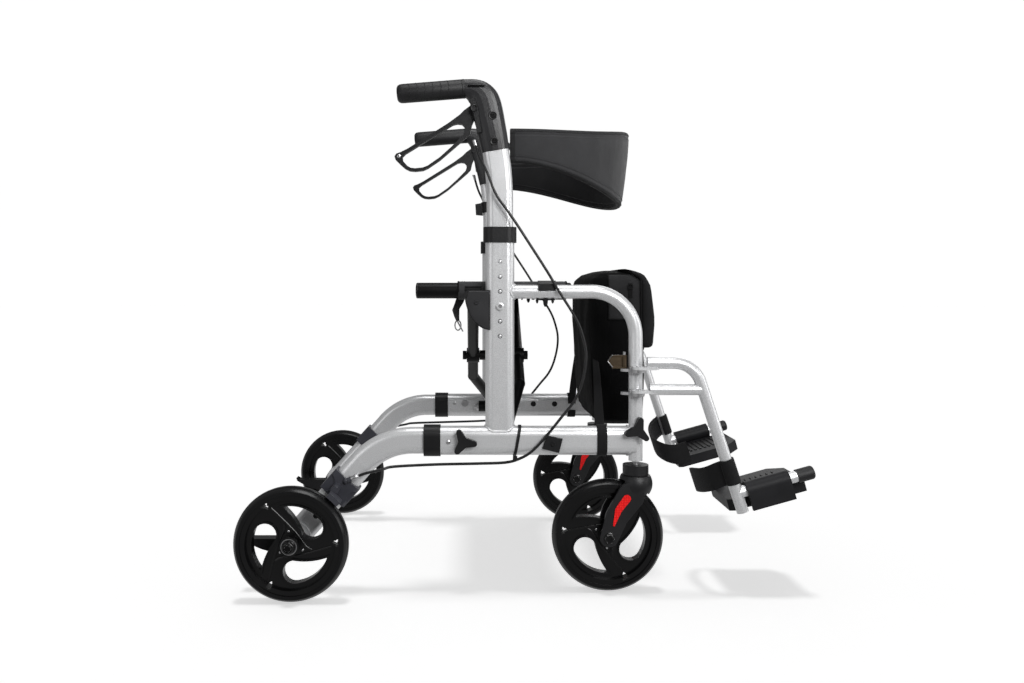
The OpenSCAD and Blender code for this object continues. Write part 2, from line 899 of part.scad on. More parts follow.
module brake_lever() {
    color(black)
        translate([lever_pivot.x, -side_y, lever_pivot.y]) {
            difference() {
                union() {
                    along_y(-lever_t / 2, lever_t / 2) polygon(lever_outer);
                    rod_y(2 * lever_hub, -lever_t / 2, lever_t / 2);
                }
                along_y(-lever_t, lever_t) polygon(lever_opening);
            }
            rod_y(lever_pin_d, -elbow_half_t + 1, elbow_half_t - 1);
        }
}

// Wheels

module wheel_at(x, y) {
    translate([x, y, wheel_r]) rotate([90, 0, 0]) children();
}

module tyre() {
    groove_w = 2;
    groove_d = 1.5;
    color(black)
        rotate_extrude($fn = 96)
            difference() {
                intersection() {
                    translate([wheel_r - crown_r, 0]) circle(crown_r);
                    translate([rim_r, -tyre_w / 2]) square([tyre_depth, tyre_w]);
                }
                for (y = [-7, 7])
                    translate([wheel_r - groove_d - 1, y - groove_w / 2])
                        square([groove_d + 2, groove_w]);
            }
}

// Centre of the curved inner edge of a rim window
function window_middle() =
    let (root = polar(window_end_at - window_end_r, window_end_angle))
    let (tip = polar(window_r, window_tip_angle), chord = norm(tip - root))
    let (out = [tip.y - root.y, root.x - tip.x] / chord)
    (root + tip) / 2 - out * sqrt(window_curve_r * window_curve_r - chord * chord / 4);

// Angle from the hub of the window's tip, where circles of radius r and c cross
function tip_angle(r, c) =
    let (m = window_middle(), d = norm(m))
    atan2(-m.y, -m.x) + 180 - acos((r * r + d * d - c * c) / (2 * r * d));

// Teardrop window of the swirl rim, grown on all sides by d
module window(d) {
    steps = 12;
    m = window_middle();
    r = window_r + d;
    c = window_curve_r - d;
    tip = tip_angle(r, c);
    end = polar(window_end_at, window_end_angle);
    root = polar(window_end_at - window_end_r - d, window_end_angle) - m;
    far = polar(r, tip) - m;
    root_a = atan2(root.y, root.x);
    far_a = atan2(far.y, far.x);
    first = window_end_angle + 8;
    polygon(concat(
        [for (k = [0 : steps]) end + polar(window_end_r + d, window_end_angle - 180 * k / steps)],
        [for (k = [1 : steps]) m + polar(c, root_a + (far_a - root_a) * k / steps)],
        [for (k = [1 : steps]) polar(r, tip + (first - tip) * k / steps)]
    ));
}

module rim(width, spin) {
    rim_w = tyre_w - 5;
    rim_h = 9;
    keyhole_at = 79;
    keyhole = 8;
    keyhole_angle = window_tip_angle + 22;
    pocket_at = 25;
    pocket_r = 9;
    color(black)
        rotate(spin)
            difference() {
                union() {
                    rotate_extrude($fn = 96)
                        translate([rim_r - rim_h, -rim_w / 2]) square([rim_h, rim_w]);
                    linear_extrude(web_t, center = true) circle(rim_r - rim_h / 2);
                    for (k = [0 : 2])
                        rotate(120 * k)
                            linear_extrude(lip_t, center = true)
                                window(lip_w);
                    cylinder(r = hub_r, h = width, center = true);
                }
                for (k = [0 : 2])
                    rotate(120 * k) {
                        linear_extrude(2 * lip_t, center = true) window(0);
                        translate(polar(keyhole_at, keyhole_angle))
                            rotate(keyhole_angle + 180)
                                cylinder(r = keyhole, h = 2 * lip_t, center = true, $fn = 3);
                        for (s = [-1, 1])
                            translate(concat(polar(pocket_at, window_tip_angle), s * lip_t / 2))
                                rotate(window_tip_angle)
                                    cylinder(r = pocket_r, h = lip_t - web_t + 3, center = true, $fn = 3);
                    }
                cylinder(d = axle_d + 6, h = 2 * width, center = true);
                for (s = [-1, 1])
                    translate([0, 0, s * width / 2])
                        cylinder(d = bearing_d + 2 * pin_gap, h = 2 * bearing_w, center = true);
            }
}

module rear_tyre() {
    wheel_at(rear_x, -rear_y) tyre();
}

module rear_rim() {
    wheel_at(rear_x, -rear_y) rim(hub_w, 0);
}

module caster_tyre() {
    wheel_at(caster_x, -side_y) tyre();
}

module caster_rim() {
    caster_spin = 50;
    wheel_at(caster_x, -side_y) rim(caster_hub_w, caster_spin);
}

// Side view of a fork blade, from the head back to the axle
module blade_outline() {
    axle = [caster_x, wheel_r];
    waist = [stem_x - 0.73 * caster_trail, wheel_r + 38];
    root = [stem_x - 0.25 * caster_trail, wheel_r + 74];
    link(axle, waist, 16, 20);
    link(waist, root, 20, 24);
}

module caster_fork() {
    neck = 2;
    color(dark)
        difference() {
            union() {
                translate([stem_x, -side_y, 0])
                    rotate_extrude() {
                        translate([0, cap_z]) square([cap_r, cap_h]);
                        translate([0, cap_z - 3]) square([cap_r - neck, 4]);
                        intersection() {
                            translate([0, head_z]) circle(head_r);
                            translate([0, wheel_r + 50]) square([head_r, cap_z - wheel_r - 52]);
                        }
                    }
                along_y(-side_y - fork_y, -side_y + fork_y) blade_outline();
            }
            translate([caster_x, -side_y, wheel_r]) {
                rod_y(wheel_d + 2 * fork_clear, -fork_gap / 2, fork_gap / 2);
                rod_y(caster_axle_d, -side_y, side_y);
            }
            translate([stem_x, -side_y, cap_z - 12]) cylinder(d = stem_d, h = cap_h + 20);
        }
}

module caster_axle() {
    head_h = 5;
    axle_y = fork_y + head_h;
    color(steel) {
        translate([caster_x, -side_y, wheel_r]) {
            rod_y(caster_axle_d, -axle_y, axle_y);
            for (a = [90, -90])
                rotate([a, 0, 0])
                    translate([0, 0, fork_y])
                        cylinder(d = caster_axle_d + 7, h = head_h, $fn = 6);
            for (y = [-caster_hub_w / 2, caster_hub_w / 2 - bearing_w])
                difference() {
                    rod_y(bearing_d, y, y + bearing_w);
                    rod_y(caster_axle_d, y - 1, y + bearing_w + 1);
                }
        }
        translate([stem_x, -side_y, cap_z - 12]) cylinder(d = stem_d, h = stem_top - cap_z + 12);
    }
}

// Red crescents on both faces of the fork
module caster_reflectors() {
    crescent = [[-20, 70], [-35, 50], [-43, 23]];
    widths = [7, 6, 1.6];
    thick = 1.6;
    color(red)
        for (y = [-side_y - fork_y - thick, -side_y + fork_y])
            along_y(y, y + thick)
                translate([stem_x, wheel_r])
                    for (i = [0, 1])
                        link(crescent[i], crescent[i + 1], widths[i], widths[i + 1]);
}

// Cross brace

// One leg from its seat tube, through the crossing and a knee, to its pivot sleeve
module brace_leg(x, side) {
    seat = [x, side * seat_y, seat_tube_z];
    knee = [x, -side * knee_y, knee_z];
    foot = [pivot_x, -side * pivot_y, pivot_z];
    rod(seat, knee, brace_d);
    translate(knee) sphere(d = brace_d + 1);
    rod(knee, foot, brace_d);
    along_x(-seat_rear, seat_front)
        translate([side * seat_y, seat_tube_z])
            circle(d = seat_tube_d);
    along_x(pivot_x - sleeve_len / 2, pivot_x + sleeve_len / 2)
        translate([-side * pivot_y, pivot_z])
            circle(d = sleeve_d);
    along_x(x - boss_l / 2, x + boss_l / 2)
        translate([0, cross_z])
            circle(boss_r);
}

module brace_bores(side) {
    along_x(-2 * seat_rear, 2 * seat_front)
        translate([side * seat_y, seat_tube_z])
            circle(d = seat_tube_d - 2 * tube_wall);
    along_x(pivot_x - sleeve_len, pivot_x + sleeve_len)
        translate([-side * pivot_y, pivot_z])
            circle(d = pivot_d + 2 * pin_gap);
}

// Front leg, from the left seat tube to the right rail, with the crossing bolt
module cross_frame_front() {
    nut = 8;
    color(black) {
        difference() {
            brace_leg(leg_b_x, 1);
            brace_bores(1);
        }
        along_x(leg_a_x - boss_l / 2 - gap - nut, leg_b_x - boss_l / 2)
            translate([0, cross_z]) circle(d = cross_bolt_d);
        along_x(leg_a_x - boss_l / 2 - gap - nut, leg_a_x - boss_l / 2 - gap)
            translate([0, cross_z]) circle(d = cross_bolt_d + 8, $fn = 6);
        along_x(leg_a_x + boss_l / 2 + gap, leg_b_x - boss_l / 2)
            translate([0, cross_z]) circle(d = cross_bolt_d + 8);
        along_x(leg_b_x + boss_l / 2, leg_b_x + boss_l / 2 + nut)
            translate([0, cross_z]) circle(d = cross_bolt_d + 8, $fn = 6);
    }
}

// Rear leg, from the right seat tube to the left rail
module cross_frame_rear() {
    color(black)
        difference() {
            brace_leg(leg_a_x, -1);
            brace_bores(-1);
            along_x(leg_a_x - boss_l, leg_a_x + boss_l)
                translate([0, cross_z])
                    circle(d = cross_bolt_d + 2 * pin_gap);
        }
}

// Seat, backrest and bag

// Height of the sling's upper face across the seat
function sling_z(y) =
    seat_tube_z + seat_tube_d / 2 + gap + 0.8 * sling_t - seat_sag * (1 - pow(y / seat_y, 2));

// Sling sewn round both seat tubes, sagging between them
module seat_sling() {
    sleeve = seat_tube_d + 2 * gap + 2 * sling_t;
    steps = 24;
    across = [for (k = [0 : steps]) seat_y * (2 * k / steps - 1)];
    color(black)
        difference() {
            along_x(sling_rear, sling_front) {
                for (s = [-1, 1])
                    translate([s * seat_y, seat_tube_z])
                        circle(d = sleeve);
                polygon(concat(
                    [for (y = across) [-y, sling_z(y)]],
                    [for (y = across) [y, sling_z(y) - sling_t]]
                ));
            }
            for (s = [-1, 1]) {
                along_x(2 * sling_rear, 2 * sling_front)
                    translate([s * seat_y, seat_tube_z])
                        circle(d = seat_tube_d + 2 * gap);
                along_x(saddle_x - saddle_l / 2 - 4, saddle_x + saddle_l / 2 + 4)
                    translate([s * seat_y - sleeve, seat_tube_z - sleeve])
                        square([2 * sleeve, sleeve + 6]);
                for (x = [leg_a_x, leg_b_x])
                    along_x(x - brace_d / 2 - 5, x + brace_d / 2 + 5)
                        translate([s * seat_y - sleeve, seat_tube_z - sleeve])
                            square([2 * sleeve, sleeve + 6]);
            }
        }
}

// Section of the backrest band at an angle round its curve, from the right end to the left
function back_ring(t) =
    let (s = pow(sin(t), 1.8), tall = (back_end_h + (back_mid_h - back_end_h) * s) / 2)
    let (high = back_root_z + back_end_h / 2 + 28 * pow(sin(t), 4), lean = 8 * s)
    let (c = [back_root_x + (back_bulge - lean) * sin(t), -back_y * cos(t), high - tall])
    let (n = unit([back_y * sin(t), -back_bulge * cos(t), 0]))
    soft_ring(c, n * back_t / 2, [lean * sin(t), -lean * cos(t) * 0.2, tall], 16, 0.55);

module backrest_pad() {
    stations = 28;
    color(dark)
        loft([for (k = [0 : stations]) back_ring(180 * k / stations)]);
}

// End plates of the backrest with the pins that it flips over on
module backrest_hinges() {
    plate_h = 30;
    inner = back_y - back_t / 2 - 1;
    outer = side_y - elbow_half_t - 1.5;
    pin_end = side_y - 8;
    color(black)
        for (s = [0, 1])
            mirror([0, s, 0]) {
                along_y(-outer, -inner)
                    link(back_pivot, [back_root_x - 8 - gap, back_root_z], plate_h / 2, 8);
                translate([back_pivot.x, 0, back_pivot.y]) rod_y(back_pin_d, -pin_end, -outer);
            }
}

// One level of the bag: height, rear and front edges ahead of the upright, share of its width
bag_levels = [
    [283, 194, 272, 0.84], [292, 183, 281, 0.95], [335, 177, 284, 0.99], [425, 173, 284, 1],
    [436, 172, 294, 1], [480, 170, 298, 1], [545, 170, 290, 1], [560, 175, 281, 0.98],
    [571, 190, 264, 0.9], [577, 208, 240, 0.6]
];

function bag_ring(level) =
    soft_ring([(level[1] + level[2]) / 2, 0, level[0]], [(level[2] - level[1]) / 2, 0, 0],
        [0, bag_w / 2 * level[3], 0], 28, 0.42);

// Webbing from the bag's side down to a loop round the side rail
module bag_strap() {
    strap_x = 182;
    strap_t = 2;
    strap_top = 380;
    strap_in = 24;
    along_x(strap_x - strap_w / 2, strap_x + strap_w / 2)
        translate([-side_y, rail_z])
            difference() {
                oval(rail_w + 2 * gap + 2 * strap_t, rail_h + 2 * gap + 2 * strap_t);
                oval(rail_w + 2 * gap, rail_h + 2 * gap);
            }
    along_x(strap_x - strap_w / 2, strap_x + strap_w / 2)
        polygon([
            [-side_y + rail_w / 2 + gap, rail_z], [-side_y + rail_w / 2 + gap + strap_t, rail_z],
            [strap_in + strap_t - bag_w / 2, strap_top], [strap_in - bag_w / 2, strap_top]
        ]);
}

module bag() {
    color(black) {
        loft([for (level = bag_levels) bag_ring(level)]);
        for (s = [0, 1])
            mirror([0, s, 0])
                bag_strap();
    }
}

// Footrest

// Runs children in the frame of the footplate's bar, X along it
module on_bar() {
    translate([bar_x, -hanger_y, bar_z])
        rotate([0, -plate_tilt, 0])
            children();
}

module hinge_plate(z) {
    translate([0, 0, z])
        difference() {
            linear_extrude(tab_t)
                link([stem_x, -hanger_y], [stem_x + 28, -hanger_y], hinge_r, hanger_d / 2 - 2);
            translate([stem_x, -hanger_y, -1])
                cylinder(d = hinge_pin_d + 2 * pin_gap, h = tab_t + 2);
        }
}

module hanger() {
    tube_start = stem_x + 16;
    slope_len = (hanger_drop.y - foot_z) / cos(hanger_slope);
    color(alloy) {
        hinge_plate(lower_tab_z + tab_t + gap);
        hinge_plate(upper_tab_z + tab_t + gap);
        translate([hanger_bend_x, -hanger_y, hanger_top_z - hanger_bend])
            mirror([1, 0, 0])
                bent_tube(hanger_bend, 90, 90 - hanger_slope, hanger_bend_x - tube_start, slope_len)
                    circle(d = hanger_d);
        along_x(tube_start + 4, slope_x(hanger_low_z))
            translate([-hanger_y, hanger_low_z])
                circle(d = bar_d);
        on_bar() rotate([0, 90, 0]) cylinder(d = bar_d, h = bar_len);
    }
}

module footrest_cap() {
    color(black)
        on_bar()
            translate([bar_len - cap_len + 2 * cap_wall, 0, 0])
                rotate([0, 90, 0])
                    difference() {
                        rotate_extrude() {
                            square([cap_d / 2, cap_len - cap_round]);
                            square([cap_d / 2 - cap_round, cap_len]);
                            intersection() {
                                translate([cap_d / 2 - cap_round, cap_len - cap_round]) circle(cap_round);
                                square([cap_d, cap_len]);
                            }
                        }
                        translate([0, 0, -1]) cylinder(d = bar_d, h = cap_len - 2 * cap_wall + 1);
                    }
}

// Footplate deck seen from above: X along the bar, Y inwards
module deck_outline(d) {
    near_y = hanger_d / 2 + 2.5;
    heel = 16;
    chamfer = 26;
    corner = 8;
    polygon([
        [corner - heel, near_y + d], [shell_start + plate_len - d, near_y + d],
        [shell_start + plate_len - d, plate_w - chamfer], [shell_start + plate_len - chamfer, plate_w - d],
        [corner - heel, plate_w - d], [d - heel, plate_w - corner], [d - heel, near_y + corner]
    ]);
}

module footplate() {
    ribs = 8;
    barrel = bar_d + 2 * shell_wall;
    deck_low = deck_top - deck_t;
    color(dark)
        on_bar()
            difference() {
                union() {
                    translate([0, 0, deck_low])
                        difference() {
                            linear_extrude(deck_t) deck_outline(0);
                            translate([0, 0, -deck_wall]) linear_extrude(deck_t) deck_outline(4);
                        }
                    for (k = [0 : ribs - 1])
                        translate([shell_start + 6 + k * (plate_len - 34) / (ribs - 1), 30, deck_top - 1])
                            cube([4, plate_w - 62, rib_h + 1]);
                    along_x(shell_start, shell_start + shell_len) {
                        circle(d = barrel);
                        translate([-barrel / 2, deck_low]) square([shell_wall, -deck_low]);
                        translate([0, deck_top - deck_wall]) square([barrel / 2 + 4, deck_wall]);
                    }
                }
                rotate([0, 90, 0])
                    cylinder(d = bar_d + 2 * pin_gap, h = shell_start + plate_len + 1);
            }
}

// Route of the heel strap beside the sloped tube: forward, inwards and up
function heel_route() =
    let (r = hanger_d / 2 + gap + loop_t / 2, end = plate_w + gap + loop_t / 2)
    concat(
        [for (a = [60 : -30 : -180]) concat(polar(r, a), 0)],
        [
            [-17, 20, -4], [-28, 50, -11], [-40, 82, -18], [-46, 108, -24], [-40, end - 13, -30],
            [-30, end - 3, -36], [-18, end, -41], [-4, end, -43], [12, end, -43]
        ]
    );

// Webbing from the sloped tube round behind the heel to the footplate's inner edge
module heel_loop() {
    tall = (loop_high - loop_low) / cos(hanger_slope);
    path = curve(heel_route(), 2);
    last = len(path) - 1;
    color(black)
        translate([slope_x(loop_low), -hanger_y, loop_low])
            rotate([0, -hanger_slope, 0])
                loft([
                    for (i = [0 : last])
                        let (v = path[min(i + 1, last)] - path[max(i - 1, 0)])
                        let (n = unit([v.y, -v.x, 0]))
                        soft_ring(path[i] + [0, 0, tall / 2], n * loop_t / 2, [0, 0, tall / 2], 8, 0.3)
                ]);
}

// Bent paddle that frees the footrest
module latch_lever() {
    paddle_t = 2.5;
    paddle_h = 24;
    boss = latch_pin_d + 5;
    color(steel)
        translate([latch_x, -side_y, latch_z])
            difference() {
                union() {
                    cylinder(d = boss, h = paddle_h);
                    along_y(-paddle_t / 2, paddle_t / 2)
                        polygon([[0, 4], [-20, 0], [-31, 13], [-24, paddle_h], [0, paddle_h]]);
                    for (z = [0, paddle_h - paddle_t])
                        translate([-22, -4, z]) cube([20, 8, paddle_t]);
                }
                translate([0, 0, -1]) cylinder(d = latch_pin_d + 2 * pin_gap, h = paddle_h + 2);
            }
}

// Three-armed knob with its clamping screw, its back face on the tube at y
module star_knob(spin, y, screw_l) {
    hub = 9;
    arm = 5;
    color(dark) {
        along_y(y - knob_t, y - gap)
            for (k = [0 : 2])
                link([0, 0], polar(knob_r - arm, spin + 120 * k), hub, arm);
        rod_y(knob_stem_d, y - gap, y + screw_l);
    }
}

module rear_knob() {
    translate([rear_knob_x, -side_y, rail_z])
        star_knob(-6, -rail_w / 2, 9);
}

module front_knob() {
    translate([stem_x, -side_y, front_knob_z])
        star_knob(77, -rail_w / 2 - 0.5, 10);
}

for (side = SIDES) {
    on_side(side) side_rail();
    on_side(side) upright();
    on_side(side) seat_rail();
    on_side(side) rear_leg();
    on_side(side) frame_plastics();
    on_side(side) frame_fasteners();
    on_side(side) brake_cable();
    on_side(side) brake_housing();
    on_side(side) brake_shoe();
    on_side(side) handle_tube();
    on_side(side) handle_housing();
    on_side(side) grip();
    on_side(side) brake_lever();
    on_side(side) rear_tyre();
    on_side(side) rear_rim();
    on_side(side) caster_fork();
    on_side(side) caster_axle();
    on_side(side) caster_reflectors();
    on_side(side) caster_tyre();
    on_side(side) caster_rim();
    on_side(side) hanger();
    on_side(side) footplate();
    on_side(side) footrest_cap();
    on_side(side) heel_loop();
    on_side(side) latch_lever();
    on_side(side) rear_knob();
    on_side(side) front_knob();
}
on_side("right") cross_frame_front();
on_side("right") cross_frame_rear();
on_side("right") seat_sling();
on_side("right") backrest_pad();
on_side("right") backrest_hinges();
on_side("right") bag();
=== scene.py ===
"""Looks of the folding rollator chair: materials, soft goods and trim around the CAD frame."""
from math import copysign, cos, exp, pi, radians, sin, sqrt

import bpy
import bmesh
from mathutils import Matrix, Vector, noise
from mathutils.bvhtree import BVHTree


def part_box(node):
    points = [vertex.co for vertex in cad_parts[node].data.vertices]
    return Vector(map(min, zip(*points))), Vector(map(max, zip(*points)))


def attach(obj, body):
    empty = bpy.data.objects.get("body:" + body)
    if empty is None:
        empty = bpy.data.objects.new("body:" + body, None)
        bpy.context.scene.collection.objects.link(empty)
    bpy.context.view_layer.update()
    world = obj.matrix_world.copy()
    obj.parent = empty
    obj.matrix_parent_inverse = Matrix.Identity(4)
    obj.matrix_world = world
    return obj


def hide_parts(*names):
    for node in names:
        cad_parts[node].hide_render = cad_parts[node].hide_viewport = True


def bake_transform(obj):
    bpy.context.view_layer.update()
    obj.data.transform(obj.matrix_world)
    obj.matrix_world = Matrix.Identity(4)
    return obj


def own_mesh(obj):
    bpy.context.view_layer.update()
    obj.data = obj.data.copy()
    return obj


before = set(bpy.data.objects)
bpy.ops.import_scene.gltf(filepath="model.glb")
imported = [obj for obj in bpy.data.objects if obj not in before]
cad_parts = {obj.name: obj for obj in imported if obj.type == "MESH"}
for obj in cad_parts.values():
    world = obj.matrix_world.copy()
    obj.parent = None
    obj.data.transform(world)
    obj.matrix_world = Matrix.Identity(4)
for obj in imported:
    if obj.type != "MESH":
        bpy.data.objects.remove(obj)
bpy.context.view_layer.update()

SIDES = (("right", -1), ("left", 1))
MID = 0.0465143
OUTWARD = (0, -1, 0)

# Places of the frame in millimetres, as in at()
SIDE_Y = 242
UPRIGHT_FACE = -256
STEM_U = 244
RAIL_Z, RAIL_FLAT = 269, 10
REAR_U, REAR_Y = -363, 300
CASTER_U = 193
AXLE_Z = 100
HANGER_Y = 268


def at(u, y, z):
    """A point from distances in millimetres: ahead of the upright, to the left, above the floor."""
    return Vector((u / 1000 - MID, y / 1000, z / 1000))


def bent(value, power):
    return copysign(abs(value) ** power, value)


def smooth_line(route, steps):
    """Points on one smooth curve through the route."""
    route = [Vector(p) for p in route]
    line = []
    for i in range(len(route) - 1):
        a, b, c = route[max(i - 1, 0)], route[i], route[i + 1]
        d = route[min(i + 2, len(route) - 1)]
        for k in range(steps):
            t = k / steps
            line.append((2 * b + (c - a) * t + (2 * a - 5 * b + 4 * c - d) * t * t
                         + (3 * b - a - 3 * c + d) * t ** 3) / 2)
    return line + [route[-1]]


def length_of(line):
    return sum((b - a).length for a, b in zip(line, line[1:]))


def turns(count):
    """Angles of a whole turn in even steps, both ends included."""
    return [2 * pi * k / count for k in range(count + 1)]


def apart(value, half):
    """Offset of a half circle of an oval tube, to the side that a value points to."""
    return half if value >= 0 else -half


def round_rail(u, radius, count):
    """Places round the side rail's oval section, and the way off it at each."""
    for a in turns(count):
        out = Vector((0, cos(a), sin(a)))
        middle = Vector((u, -SIDE_Y, RAIL_Z + apart(sin(a), RAIL_FLAT)))
        yield middle + out * radius, out


def new_object(name, data):
    obj = bpy.data.objects.new(name, data)
    bpy.context.collection.objects.link(obj)
    return obj


# Rings of one stitch: shares of its length and radius, and lift off the cloth
STITCH = ((-0.5, 0.45, -0.6), (-0.3, 1.0, 0.3), (0.3, 1.0, 0.3), (0.5, 0.45, -0.6))


class Shape:
    """Faces gathered in millimetres, on the right side of the chair, and made into one piece."""

    def __init__(self):
        self.verts = []
        self.faces = []

    def loft(self, rings, caps=True, closed=True):
        first, n = len(self.verts), len(rings[0])
        for ring in rings:
            self.verts.extend(Vector(p) for p in ring)
        for i in range(len(rings) - 1):
            for k in range(n if closed else n - 1):
                a, b = first + i * n + k, first + i * n + (k + 1) % n
                self.faces.append((a, b, b + n, a + n))
        if caps:
            last = first + (len(rings) - 1) * n
            self.faces.append(tuple(range(first + n - 1, first - 1, -1)))
            self.faces.append(tuple(range(last, last + n)))
        return self

    def lathe(self, profile, origin, axis, sides=24, turn=0.0):
        """Turned form about an axis, from pairs of radius and distance along it."""
        axis = Vector(axis).normalized()
        x = Vector((0, 0, 1)).cross(axis) if abs(axis.z) < 0.9 else Vector((1, 0, 0))
        x.normalize()
        y = axis.cross(x)
        rings = []
        for r, along in profile:
            ring = []
            for a in turns(sides)[:-1]:
                out = x * cos(a + turn) + y * sin(a + turn)
                ring.append(Vector(origin) + axis * along + out * r)
            rings.append(ring)
        return self.loft(rings)

    def tube(self, line, radius, sides=10, rough=0.0):
        """Round tube along a line, with rounded ends."""
        line = [Vector(p) for p in line]
        last = len(line) - 1
        side = None
        rings = []
        for i, p in enumerate(line):
            way = (line[min(i + 1, last)] - line[max(i - 1, 0)]).normalized()
            if side is None:
                side = way.orthogonal().normalized()
            side = (side - way * side.dot(way)).normalized()
            other = way.cross(side)
            steps = [(radius, 0.0)]
            if i == 0:
                steps = [(radius * 0.5, -radius * 0.45), (radius * 0.87, -radius * 0.2)] + steps
            elif i == last:
                steps += [(radius * 0.87, radius * 0.2), (radius * 0.5, radius * 0.45)]
            for r, along in steps:
                ring = []
                for a in turns(sides)[:-1]:
                    out = side * cos(a) + other * sin(a)
                    r_here = r * (1 + rough * noise.noise((p + out * r) * 0.5))
                    ring.append(p + way * along + out * r_here)
                rings.append(ring)
        return self.loft(rings)

    def plate(self, outline, y0, y1, chamfer=0.8):
        """Plate in the side plane from y0 to y1, its outer and inner edges broken."""
        middle = sum((Vector((u, 0, z)) for u, z in outline), Vector()) / len(outline)
        step = chamfer if y1 > y0 else -chamfer
        rings = []
        for y, inset in ((y0, chamfer), (y0 + step, 0), (y1 - step, 0), (y1, chamfer)):
            ring = []
            for u, z in outline:
                p = Vector((u, 0, z))
                p = p + (middle - p).normalized() * inset
                ring.append((p.x, y, p.z))
            rings.append(ring)
        return self.loft(rings)

    def dashes(self, line, out, pitch=6.0, dash=4.0, radius=0.5):
        """A row of stitches along a line; out gives the way off the cloth at each point."""
        rest = 0.0
        for i in range(len(line) - 1):
            a, b = line[i], line[i + 1]
            span = (b - a).length
            way = (b - a).normalized()
            while rest < span:
                p = a + way * rest
                up = out[i].normalized()
                side = way.cross(up).normalized()
                rings = []
                for s, r, lift in STITCH:
                    c = p + way * (s * dash) + up * (lift * radius)
                    rings.append([c + side * r * radius, c + up * r * radius, c - side * r * radius,
                                  c - up * r * radius])
                self.loft(rings)
                rest += pitch
            rest -= span
        return self

    def make(self, name, mat, body, slot, side=-1, angle=38):
        mesh = bpy.data.meshes.new(name)
        mesh.from_pydata([at(v.x, -side * v.y, v.z) for v in self.verts], [], self.faces)
        work = bmesh.new()
        work.from_mesh(mesh)
        bmesh.ops.recalc_face_normals(work, faces=work.faces)
        work.to_mesh(mesh)
        work.free()
        mesh.shade_smooth()
        mesh.set_sharp_from_angle(angle=radians(angle))
        mesh.materials.append(mat)
        obj = new_object(name, mesh)
        if body:
            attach(obj, body)
        return obj

    def pair(self, name, mat, body, slot):
        return [self.make(f"{name}_{side}", mat, f"{body}_{side}", slot, k) for side, k in SIDES]


TREES = {}


def face_y(node, u, z, start=-500.0, way=1):
    """Where a line along Y first meets a CAD node, in millimetres."""
    if node not in TREES:
        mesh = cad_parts[node].data
        TREES[node] = BVHTree.FromPolygons([v.co for v in mesh.vertices],
                                           [p.vertices for p in mesh.polygons])
    hit = TREES[node].ray_cast(at(u, start, z), Vector((0, way, 0)))[0]
    if hit is None:
        raise ValueError(f"nothing of {node} at {u}, {z}")
    return hit.y * 1000


# Materials

def new_material(name):
    mat = bpy.data.materials.new(name)
    mat.use_nodes = True
    tree = mat.node_tree
    return mat, tree, tree.nodes["Principled BSDF"]


def add(tree, kind, **values):
    node = tree.nodes.new(kind)
    for key, value in values.items():
        if key in node.inputs:
            node.inputs[key].default_value = value
        else:
            setattr(node, key, value)
    return node


def set_inputs(node, values):
    for key, value in values.items():
        node.inputs[key].default_value = value


def texture(tree, kind, stretch=(1, 1, 1), **values):
    """Texture over the piece's own coordinates."""
    node = add(tree, "ShaderNodeTex" + kind, **values)
    coords = add(tree, "ShaderNodeTexCoord")
    mapping = add(tree, "ShaderNodeMapping", Scale=stretch)
    tree.links.new(coords.outputs["Object"], mapping.inputs["Vector"])
    tree.links.new(mapping.outputs["Vector"], node.inputs["Vector"])
    return node


def speckle(tree, scale, detail, stretch=(1, 1, 1)):
    return texture(tree, "Noise", stretch, Scale=scale, Detail=detail).outputs["Fac"]


def ramp(tree, source, stops):
    node = add(tree, "ShaderNodeValToRGB")
    elements = node.color_ramp.elements
    while len(elements) < len(stops):
        elements.new(0.5)
    for element, (place, colour) in zip(elements, stops):
        element.position = place
        element.color = (*colour, 1)
    tree.links.new(source, node.inputs["Fac"])
    return node.outputs["Color"]


def paint(tree, bsdf, source, stops):
    tree.links.new(ramp(tree, source, stops), bsdf.inputs["Base Color"])


def vary_roughness(tree, bsdf, source, low, high):
    node = add(tree, "ShaderNodeMapRange")
    set_inputs(node, {"To Min": low, "To Max": high})
    tree.links.new(source, node.inputs["Value"])
    tree.links.new(node.outputs["Result"], bsdf.inputs["Roughness"])


def bump(tree, bsdf, height, strength, distance):
    node = add(tree, "ShaderNodeBump", Strength=strength, Distance=distance)
    tree.links.new(height, node.inputs["Height"])
    tree.links.new(node.outputs["Normal"], bsdf.inputs["Normal"])


def grey(v):
    return (v, v, v * 1.1)


def silver_paint():
    """Silver lacquer with a fine metal flake."""
    mat, tree, bsdf = new_material("silver_paint")
    set_inputs(bsdf, {"Metallic": 0.5, "Coat Weight": 0.25, "Coat Roughness": 0.25})
    flake = speckle(tree, 950.0, 3.0)
    paint(tree, bsdf, flake, [(0.32, (0.62, 0.625, 0.635)), (0.68, (0.92, 0.925, 0.935))])
    vary_roughness(tree, bsdf, speckle(tree, 30.0, 3.0), 0.28, 0.38)
    bump(tree, bsdf, flake, 0.2, 0.0003)
    return mat


def moulded(name, dark, light, rough, grain=1400.0, depth=0.25, shine=0.5):
    """Moulded plastic or rubber with a fine eroded grain."""
    mat, tree, bsdf = new_material(name)
    set_inputs(bsdf, {"Specular IOR Level": shine})
    cloud = speckle(tree, 18.0, 4.0)
    paint(tree, bsdf, cloud, [(0.3, dark), (0.75, light)])
    vary_roughness(tree, bsdf, cloud, rough - 0.06, rough + 0.08)
    bump(tree, bsdf, speckle(tree, grain, 3.0), depth, 0.0003)
    return mat


